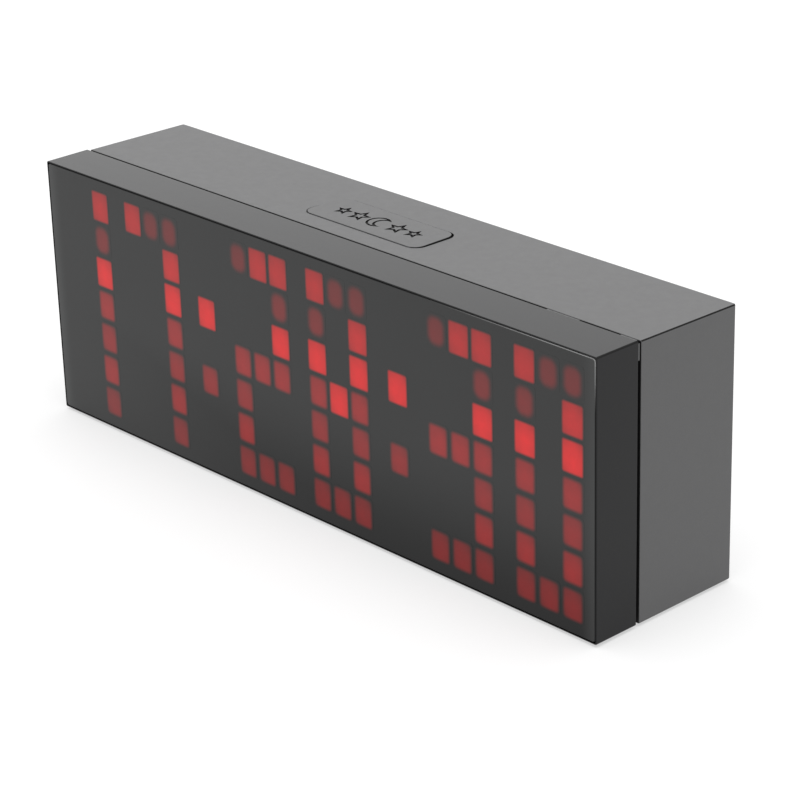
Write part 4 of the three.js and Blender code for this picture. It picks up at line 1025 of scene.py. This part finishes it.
def rear_housing():
    tray_half = [half + TRAY_GROW for half in TRAY_HALF]
    tray = block(*tray_half, 1, BACK - TRAY_FLOOR - TRAY_WALL, IN_WALL, DOOR_X, DOOR_Z)
    shell = cut(housing_outer(), housing_hollow())
    solid = join(shell, housing_lip(), *seam_keys(), *housing_posts(), tray, control_plate())
    start = BACK - CONTROL_REACH
    wells = [back_hole(p.x, p.z, SCREW_WELL / 2, HEAD_SEAT) for p in SCREWS]
    ends = (HEAD_SEAT - POST_FLOOR - OVER, HEAD_SEAT + OVER)
    passages = [rod(p.x, p.z, SCREW_SHANK / 2 + FIT, *ends, FEW_SIDES) for p in SCREWS]
    sounds = [
        back_hole(x, z, SOUND_HOLE / 2, start, None, SMALL_EDGE, FEW_SIDES)
        for x, z in sound_places()
    ]
    nose = back_hole(JACK.x, JACK.z, JACK_NOSE / 2 + FIT, start, None, 0.35, ROUND)
    pockets = [foot_pocket("foot_back_" + side) for side in ("left", "right")]
    body = cut(
        solid,
        snooze_hole(),
        nose,
        control_recess(),
        *control_holes(),
        *sounds,
        *wells,
        *passages,
        *tray_hollows(),
        *pockets,
    )

    def in_seam(place, normal):
        """Whether a face takes painted shade: in the seam's groove, on an edge or in the snooze
        button's hole.

        The tops and right ends of the keys aren't, because they show.
        """
        if place.y < HOUSING_FRONT + SEAT / 10:
            on_key = place.y > COVER_DEPTH and (normal.z > 0.9 or normal.x > 0.9)
            out = max(place.z - HOUSING_HIGH.z, place.x - HOUSING_SIDE)
            return not (on_key and out > -FIT)
        if abs(place.x) > HOUSING_SIDE - HOUSING_CORNER and place.z > HOUSING_LOW.z + 1:
            return on_edge(normal)
        out_x = abs(place.x - SNOOZE.x) - SNOOZE_HALF[0]
        out_y = abs(place.y - SNOOZE.y) - SNOOZE_HALF[1]
        upright = abs(normal.z) < 0.3
        return max(out_x, out_y) < 1 and upright and place.z > WALL_UNDERSIDE - 0.5

    looks = (DARK, SHADE)
    make("housing_shell", body, "clock", looks, ["rear_housing"], in_seam)


# ---- Snooze button ----


def crescent(radius, bite, shift, steps=14):
    """A crescent: a circle with a circle of radius bite, shifted to its right, taken out."""
    x = (radius**2 - bite**2 + shift**2) / (2 * shift)
    z = math.sqrt(radius**2 - x**2)
    outer, inner = math.atan2(z, x), math.atan2(z, x - shift)
    points = []
    for i in range(steps + 1):
        turn = outer + (2 * math.pi - 2 * outer) * i / steps
        points.append((radius * math.cos(turn), radius * math.sin(turn)))
    for i in range(1, steps):
        turn = 2 * math.pi - inner - (2 * math.pi - 2 * inner) * i / steps
        points.append((shift + bite * math.cos(turn), bite * math.sin(turn)))
    return points


def star(radius, waist=0.46, tips=5):
    turns = [math.pi / 2 + math.pi * i / tips for i in range(2 * tips)]
    reach = [radius if i % 2 == 0 else radius * waist for i in range(2 * tips)]
    return [(r * math.cos(t), r * math.sin(t)) for r, t in zip(reach, turns)]


def snooze_cap():
    bottom = span("snooze_button")[0].z
    half_x, half_y = SNOOZE_HALF
    rings = []
    for z in (bottom, bottom + SNOOZE_FLANGE_HEIGHT):
        grow = SNOOZE_FLANGE
        rings.append((z, outline(half_x + grow, half_y + grow, SNOOZE_CORNER + grow)))
    rings.append((bottom + SNOOZE_FLANGE_HEIGHT, outline(half_x, half_y, SNOOZE_CORNER)))
    level = housing_top(SNOOZE.y) - SEAT
    rings.append((level, outline(half_x, half_y, SNOOZE_CORNER)))
    for inward, on in quarter(CAP_EDGE):
        ring = outline(half_x - inward, half_y - inward, SNOOZE_CORNER - inward)
        rings.append((CAP_TOP - CAP_EDGE + on, ring))
    cap = along_height(rings, SNOOZE.x, SNOOZE.y)
    signs = [(0, *[crescent(*sizes) for sizes in CRESCENT])]
    for out, outer, inner in STARS:
        signs += [(x, star(outer), star(inner)) for x in (-out, out)]
    floor = CAP_TOP - SIGN_DEPTH
    grooves = []
    for x, outer, inner in signs:
        shapes = [
            along_height([(low, points), (CAP_TOP + OVER, points)], SNOOZE.x + x, SNOOZE.y)
            for low, points in ((floor, outer), (floor - OVER, inner))
        ]
        grooves.append(cut(*shapes))
    body = cut(cap, *grooves)

    def in_shade(place, normal):
        """Whether a face takes painted shade: in a sign's groove, under the housing's top or at the
        right end.
        """
        out = max(abs(place.x - SNOOZE.x) - half_x, abs(place.y - SNOOZE.y) - half_y)
        inside = out < -1
        if normal.z > 0.3:
            return inside and bottom + SNOOZE_FLANGE_HEIGHT < place.z < floor + HAIR
        return inside or place.z < level or normal.x > 0.3

    looks = (DARK, SHADE)
    make("snooze_cap", body, "snooze_button", looks, ["snooze_button"], in_shade)


# ---- Rear controls ----


def round_end(end, radius, edge, steps=FILLET_STEPS, sides=ROUND):
    """Rings that round the end of a rod."""
    return [(end - edge + on, circle(radius - back, sides)) for back, on in quarter(edge, steps)]


def setting_button(name):
    node = "button_" + name
    low, high = span(node)
    flange, thick = BUTTON_FLANGE
    top = low.y + thick
    crown = high.y - BUTTON_CROWN
    ends = [(low.y, flange), (top - SMALL_EDGE, flange), (top, flange - SMALL_EDGE)]
    ends += [(top, BUTTON + 0.1), (top + SMALL_EDGE, BUTTON)]
    rings = [(depth, circle(radius)) for depth, radius in ends]
    rings += round_end(crown, BUTTON, BUTTON_EDGE, 5)
    for share in (0.8, 0.6, 0.4, 0.2, 0.05):
        ring = circle((BUTTON - BUTTON_EDGE) * share)
        rings.append((crown + BUTTON_CROWN * (1 - share**2), ring))
    centre = middle(node)
    body = along_depth(rings, centre.x, centre.z)
    make("cap_" + name, body, node, BLACK, [node])


def slider_knob():
    low, high = span("alarm_slider")
    centre = middle("alarm_slider")
    knob_low = high.y - KNOB_LENGTH
    ring = outline(*KNOB)
    tip = outline(KNOB[0] - KNOB_EDGE, KNOB[1] - KNOB_EDGE, 0.12)
    rings = [(knob_low, ring), (high.y - KNOB_EDGE, ring), (high.y, tip)]
    knob = along_depth(rings, centre.x, centre.z)
    stem = block(*STEM, low.y, knob_low + JOIN, centre.x, centre.z)
    half, sink = GRIP_GROOVE
    floor, reach = high.y - sink, 2 * KNOB[1]
    grooves = [
        box((x - half, floor, centre.z - reach), (x + half, high.y + OVER, centre.z + reach))
        for x in (centre.x - KNOB_GROOVE, centre.x, centre.x + KNOB_GROOVE)
    ]
    body = cut(join(knob, stem), *grooves)
    make("slider_knob", body, "alarm_slider", BLACK, ["alarm_slider"])


def power_socket():
    low, high = span("dc_jack")
    x, z, nose = JACK.x, JACK.z, JACK_NOSE / 2
    case = block(*JACK_CASE, low.y, BACK_INSIDE - FIT, x, z)
    rings = [(BACK_INSIDE - OVER, circle(nose)), *round_end(high.y, nose, JACK_EDGE)]
    bore = back_hole(x, z, JACK_BORE, high.y - JACK_DEPTH, high.y, JACK_EDGE, ROUND)
    body = cut(join(case, along_depth(rings, x, z)), bore)
    make("power_socket", body, "clock", BLACK, ["dc_jack"])
    rings = [(high.y - JACK_DEPTH - JOIN, circle(JACK_PIN, PIN_SIDES))]
    rings += round_end(high.y - PIN_SINK, JACK_PIN, JACK_PIN / 2, sides=PIN_SIDES)
    make("socket_pin", along_depth(rings, x, z), "clock", NICKEL)


def bar(x0, z0, x1, z1, width=STROKE):
    """A straight stroke in x and z, as an outline."""
    along = Vector((x1 - x0, z1 - z0)).normalized() * (width / 2)
    side = Vector((-along.y, along.x))
    start, end = Vector((x0, z0)) - along, Vector((x1, z1)) + along
    return [tuple(start - side), tuple(end - side), tuple(end + side), tuple(start + side)]


def printed(points, x, z):
    """A flat printed shape on the floor of the control recess."""
    return along_depth([(PLATE - HAIR, points), (PLATE + MARK_THICK, points)], x, z)


def ring_mark(x, z, radius):
    hole = rod(x, z, radius - STROKE, PLATE - OVER, PLATE + OVER, MARK_SIDES)
    return cut(printed(circle(radius, MARK_SIDES), x, z), hole)


def bell_outline(radius):
    side = [(0.95, -1), (0.7, -0.55), (0.62, 0.2)]
    turns = [math.pi * i / 10 for i in range(1, 10)]
    dome = [(0.62 * math.cos(t), 0.2 + 0.75 * math.sin(t)) for t in turns]
    points = [*side, *dome, *[(-x, z) for x, z in reversed(side)]]
    return [(radius * x, radius * z) for x, z in points]


def control_marks():
    """Printed signs over the controls: a clock, a bell, up, down and a list, then a bell."""
    z = CONTROLS_Z + MARK_RISE
    x = {name: middle("button_" + name).x for name in BUTTONS}
    triangle = [(-0.95, -0.7), (0.95, -0.7), (0.0, 0.85)]
    shapes = [
        ring_mark(x["time"], z, SIGN),
        printed(bar(0, 0, 0, 0.5, THIN_STROKE), x["time"], z),
        printed(bar(0, 0, 0.36, -0.12, THIN_STROKE), x["time"], z),
        printed(bell_outline(SIGN), x["alarm"], z),
        printed(triangle, x["up"], z),
        printed([(-px, -pz) for px, pz in triangle], x["down"], z),
        *[printed(bar(-0.8, dz, 0.8, dz), x["mode"], z) for dz in (-0.7, 0.0, 0.7)],
        printed(bell_outline(0.8), SLIDE_X + SLIDE_SIGNS, z),
        ring_mark(SLIDE_X - SLIDE_SIGNS, z, 0.6),
    ]
    make("control_marks", together(*shapes), "clock", MARKING)


# ---- Battery door, cells and contacts ----


def door_ribs(end, top):
    """Short ribs to push the door by, each narrower than the one above it."""
    ribs = []
    for i in range(GRIP_RIBS):
        half = RIB_HALF - i * RIB_NARROWING
        lower = outline(half, 0.35, 0.3, FILLET_STEPS)
        upper = outline(half - SMALL_EDGE, 0.2, 0.15, FILLET_STEPS)
        rings = [(end - DOOR_EDGE, lower), (end + 0.08, lower), (end + 0.23, upper)]
        ribs.append(along_depth(rings, DOOR_X, top - RIBS_DROP - i * RIBS_PITCH))
    return ribs


def battery_door():
    end = BACK - DOOR_SINK
    start = end - DOOR
    half_x, half_z = DOOR_HALF
    rings = [(start, outline(half_x, half_z, DOOR_CORNER))]
    for inward, on in quarter(DOOR_EDGE):
        ring = outline(half_x - inward, half_z - inward, DOOR_CORNER - inward)
        rings.append((end - DOOR_EDGE + on, ring))
    bottom, top = DOOR_Z - half_z, DOOR_Z + half_z
    neck_top = bottom + HOOK_NECK
    hook_end = BACK_INSIDE - FIT
    hook_start = hook_end - HOOK_THICK
    added = []
    for x in (DOOR_X - HOOK_X, DOOR_X + HOOK_X):
        low, high = x - HOOK_HALF, x + HOOK_HALF
        added.append(box((low, hook_start, bottom + FIT), (high, start + JOIN, neck_top)))
        low, high = low + HAIR, high - HAIR
        hook_low = bottom - HOOK_REACH
        added.append(box((low, hook_start, hook_low), (high, hook_end, neck_top - HAIR)))
    half, thick, depth = CATCH
    high = DOOR_Z + TRAY_HALF[1] - 2 * FIT
    near = (DOOR_X - half, start - depth, high - thick)
    added.append(box(near, (DOOR_X + half, start + JOIN, high)))
    half_x, half_z, corner, depth = NAIL_GROOVE
    nail = back_pocket(DOOR_X, top - NAIL_DROP, half_x, half_z, corner, end - depth, end, 0.2)
    plate = along_depth(rings, DOOR_X, DOOR_Z)
    body = cut(join(plate, *added, *door_ribs(end, top)), nail)
    make("door_panel", body, "battery_door", DARK, ["battery_door"])


def cell(index):
    node = f"backup_cell_{index}"
    low, high = span(node)
    centre, radius = middle(node), (high.z - low.z) / 2
    nub, nub_radius, nub_edge = CELL_NUB
    body_end = high.x - low.x - nub
    shoulder = quarter(CELL_SHOULDER)
    inner, sunk = radius - CELL_END, body_end - SMALL_EDGE
    rings = [(0, radius * 0.7), (0, inner)]
    rings += [(CELL_SHOULDER - on, radius - inward) for inward, on in reversed(shoulder)]
    rings += [(body_end - CELL_SHOULDER + on, radius - inward) for inward, on in shoulder]
    rings += [(sunk, inner), (sunk, nub_radius + 0.4), (body_end, nub_radius)]
    for inward, on in quarter(nub_edge):
        rings.append((body_end + nub - nub_edge + on, nub_radius - inward))
    start, way = (high.x, -1) if index == FLIPPED else (low.x, 1)
    turned = [(start + way * along, circle(r)) for along, r in rings]
    body = along_width(turned, centre.y, centre.z)

    def bare(place, normal):
        """Whether a face is bare metal: the positive end, or the middle of the negative one."""
        along = abs(place.x - start)
        out = math.hypot(place.y - centre.y, place.z - centre.z)
        return along > body_end - 2 * SMALL_EDGE or (along < 2 * SMALL_EDGE and out < radius - 0.6)

    make(f"cell_{index}", body, "clock", (JACKET, STEEL), [node], bare)


def tube(path, radius, steps=10):
    """A round wire along a path of points, with flat ends."""
    points = [Vector(p) for p in path]
    rings = []
    side = None
    for i, point in enumerate(points):
        ahead = (points[min(i + 1, len(points) - 1)] - points[max(i - 1, 0)]).normalized()
        if side is None:
            side = ahead.orthogonal().normalized()
        side = (side - ahead * side.dot(ahead)).normalized()
        other = ahead.cross(side)
        rings.append([tuple(point + side * x + other * y) for x, y in circle(radius, steps)])
    return skin(rings)


def contacts(index):
    """The spring at a cell's negative end and the flat contact at its positive one."""
    way = -1 if index == FLIPPED else 1
    node = f"spring_contact_{index}"
    low, high = span(node)
    centre = middle(node)
    start = high.x if way < 0 else low.x

    def plate(x, onward, sizes):
        rings = [(x + onward * along, outline(half, half, corner)) for along, half, corner in sizes]
        return along_width(rings, centre.y, centre.z)

    length = high.x - low.x - COIL_START - 2 * COIL_WIRE + 0.2
    path = []
    for i in range(COIL_STEPS + 1):
        t = i / COIL_STEPS
        radius = COIL[0] + (COIL[1] - COIL[0]) * t
        turn = 2 * math.pi * COIL_TURNS * t
        x = start + way * (COIL_START + length * t)
        path.append((x, centre.y + radius * math.cos(turn), centre.z + radius * math.sin(turn)))
    body = together(plate(start, way, SPRING_PLATE), tube(path, COIL_WIRE))
    make(f"cell_spring_{index}", body, "clock", NICKEL, [node])
    node = f"flat_contact_{index}"
    low, high = span(node)
    centre = middle(node)
    outer = low.x if way < 0 else high.x
    rings = [(outer - way * along, circle(r, PIN_SIDES)) for along, r in DIMPLE]
    dimple = along_width(rings, centre.y, centre.z)
    body = join(plate(outer, -way, FLAT_PLATE), dimple)
    make(f"cell_plate_{index}", body, "clock", NICKEL, [node])


# ---- Screws and feet ----


def long_screw(index):
    node = f"housing_screw_{index}"
    low, high = span(node)
    centre = middle(node)
    head = high.y - SCREW_HEAD_HEIGHT
    crest, root = THREAD
    thread = low.y + SCREW_TIP[0]
    ends = [(low.y, SCREW_TIP[1]), (thread, SCREW_TIP[2])]
    while thread < head - 2:
        ends += [(thread + 0.25, crest), (thread + 0.6, root), (thread + 0.8, root)]
        thread += THREAD_PITCH
    ends += [(head, crest), (head, SCREW_HEAD - 0.2), (head + HOLE_EDGE, SCREW_HEAD)]
    rings = [(depth, circle(radius)) for depth, radius in ends]
    rings += round_end(high.y, SCREW_HEAD, SCREW_DOME)
    long, short, depth = CROSS
    floor = high.y - depth
    arms = [
        box((centre.x - x, floor, centre.z - z), (centre.x + x, high.y + OVER, centre.z + z))
        for x, z in ((long, short), (short, long))
    ]
    body = cut(along_depth(rings, centre.x, centre.z), *arms)
    make(f"long_screw_{index}", body, "clock", STEEL, [node])


def foot_pad(node):
    low, high = span(node)
    centre, radius = middle(node), (high.x - low.x) / 2
    rings = [(low.z, circle(radius - PAD_TAPER - PAD_EDGE - 0.1))]
    for inward, on in reversed(quarter(PAD_EDGE)):
        rings.append((low.z + PAD_EDGE - on, circle(radius - PAD_TAPER - inward)))
    rings.append((high.z, circle(radius)))
    body = along_height(rings, centre.x, centre.y)
    make(node.replace("foot", "pad"), body, "clock", RUBBER, [node])


# ---- CAD nodes that stay ----

KEPT = {
    "diffuser_sheet": FILM,
    "pixel_grid": BLACK,
    "led_board": BOARD,
    "snooze_board": BOARD,
    "snooze_switch": PACKAGE,
    "snooze_plunger": BLACK,
    "main_board": BOARD,
    "slide_switch": NICKEL,
    "buzzer": PACKAGE,
    "microcontroller": PACKAGE,
    "clock_crystal": STEEL,
    "ribbon_cable": RIBBON,
    "display_connector": NYLON,
    "board_connector": NYLON,
}


def dress_cad_nodes():
    looks = dict(KEPT)
    looks.update({f"snooze_board_screw_{i}": STEEL for i in (1, 2)})
    looks.update({f"board_screw_{i}": STEEL for i in range(1, 5)})
    for name in BUTTONS:
        looks["switch_" + name] = PACKAGE
        looks["plunger_" + name] = BLACK
    for node, look in looks.items():
        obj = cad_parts[node]
        for slot in obj.material_slots:
            slot.link = "OBJECT"
            slot.material = look


# ---- Studio ----

LENS = 126.0
AZIMUTH, ELEVATION = math.radians(47.435), math.radians(23.34)
CAMERA_ROLL_RISE = -0.0263  # how far the picture's rightward axis points up
CAMERA_PLACE = Vector((0.5195, -0.4665, 0.3275))


def camera():
    data = bpy.data.cameras.new("camera")
    data.lens, data.sensor_width = LENS, 36
    data.clip_start, data.clip_end = 0.01, 50
    obj = bpy.data.objects.new("camera", data)
    bpy.context.scene.collection.objects.link(obj)
    back = Vector(
        (
            math.sin(AZIMUTH) * math.cos(ELEVATION),
            -math.cos(AZIMUTH) * math.cos(ELEVATION),
            math.sin(ELEVATION),
        )
    )
    level = Vector((math.cos(AZIMUTH), math.sin(AZIMUTH), 0))
    upward = back.cross(level)
    roll = math.asin(CAMERA_ROLL_RISE / math.cos(ELEVATION))
    right = level * math.cos(roll) + upward * math.sin(roll)
    turn = Matrix((right, back.cross(right), back)).transposed()
    obj.matrix_world = Matrix.Translation(CAMERA_PLACE) @ turn.to_4x4()
    bpy.context.scene.camera = obj


def area_light(name, place, target, side, power):
    data = bpy.data.lights.new(name, "AREA")
    data.size, data.energy = side, power
    obj = bpy.data.objects.new(name, data)
    bpy.context.scene.collection.objects.link(obj)
    obj.location = place
    obj.rotation_mode = "QUATERNION"
    obj.rotation_quaternion = (Vector(place) - Vector(target)).to_track_quat("Z", "Y")


def studio():
    scene = bpy.context.scene
    scene.view_settings.view_transform = "Standard"
    world = bpy.data.worlds.new("studio")
    world.use_nodes = True
    background = world.node_tree.nodes["Background"]
    background.inputs["Color"].default_value = (1, 1, 1, 1)
    background.inputs["Strength"].default_value = 1.1
    scene.world = world
    area_light("overhead", (0.1, -0.1, 1.8), (0, 0, 0), 1.6, 24)
    area_light("window", (-1.5, 1.4, 0.95), (0, 0, 0), 2.0, 4.5)

    bm = bmesh.new()
    bmesh.ops.create_grid(bm, x_segments=1, y_segments=1, size=4)
    mesh = bpy.data.meshes.new("floor")
    bm.to_mesh(mesh)
    bm.free()
    floor = bpy.data.objects.new("floor", mesh)
    scene.collection.objects.link(floor)
    look = Look("pale_floor", (0.36, 0.36, 0.36), 0.9, 0.0)
    look.shade(look.noise(300, 2), 0.01)
    look.set("Emission Color", (1, 1, 1, 1))
    look.set("Emission Strength", 0.5)
    mesh.materials.append(look.material)


camera()
studio()
dress_cad_nodes()
cover_shell()
cover_face()
display_tiles()
rear_housing()
snooze_cap()
for button in BUTTONS:
    setting_button(button)
slider_knob()
power_socket()
control_marks()
battery_door()
for number in (1, 2, 3):
    cell(number)
    contacts(number)
for number in (1, 2, 3, 4):
    long_screw(number)
for row in ("front", "back"):
    for hand in ("left", "right"):
        foot_pad(f"foot_{row}_{hand}")
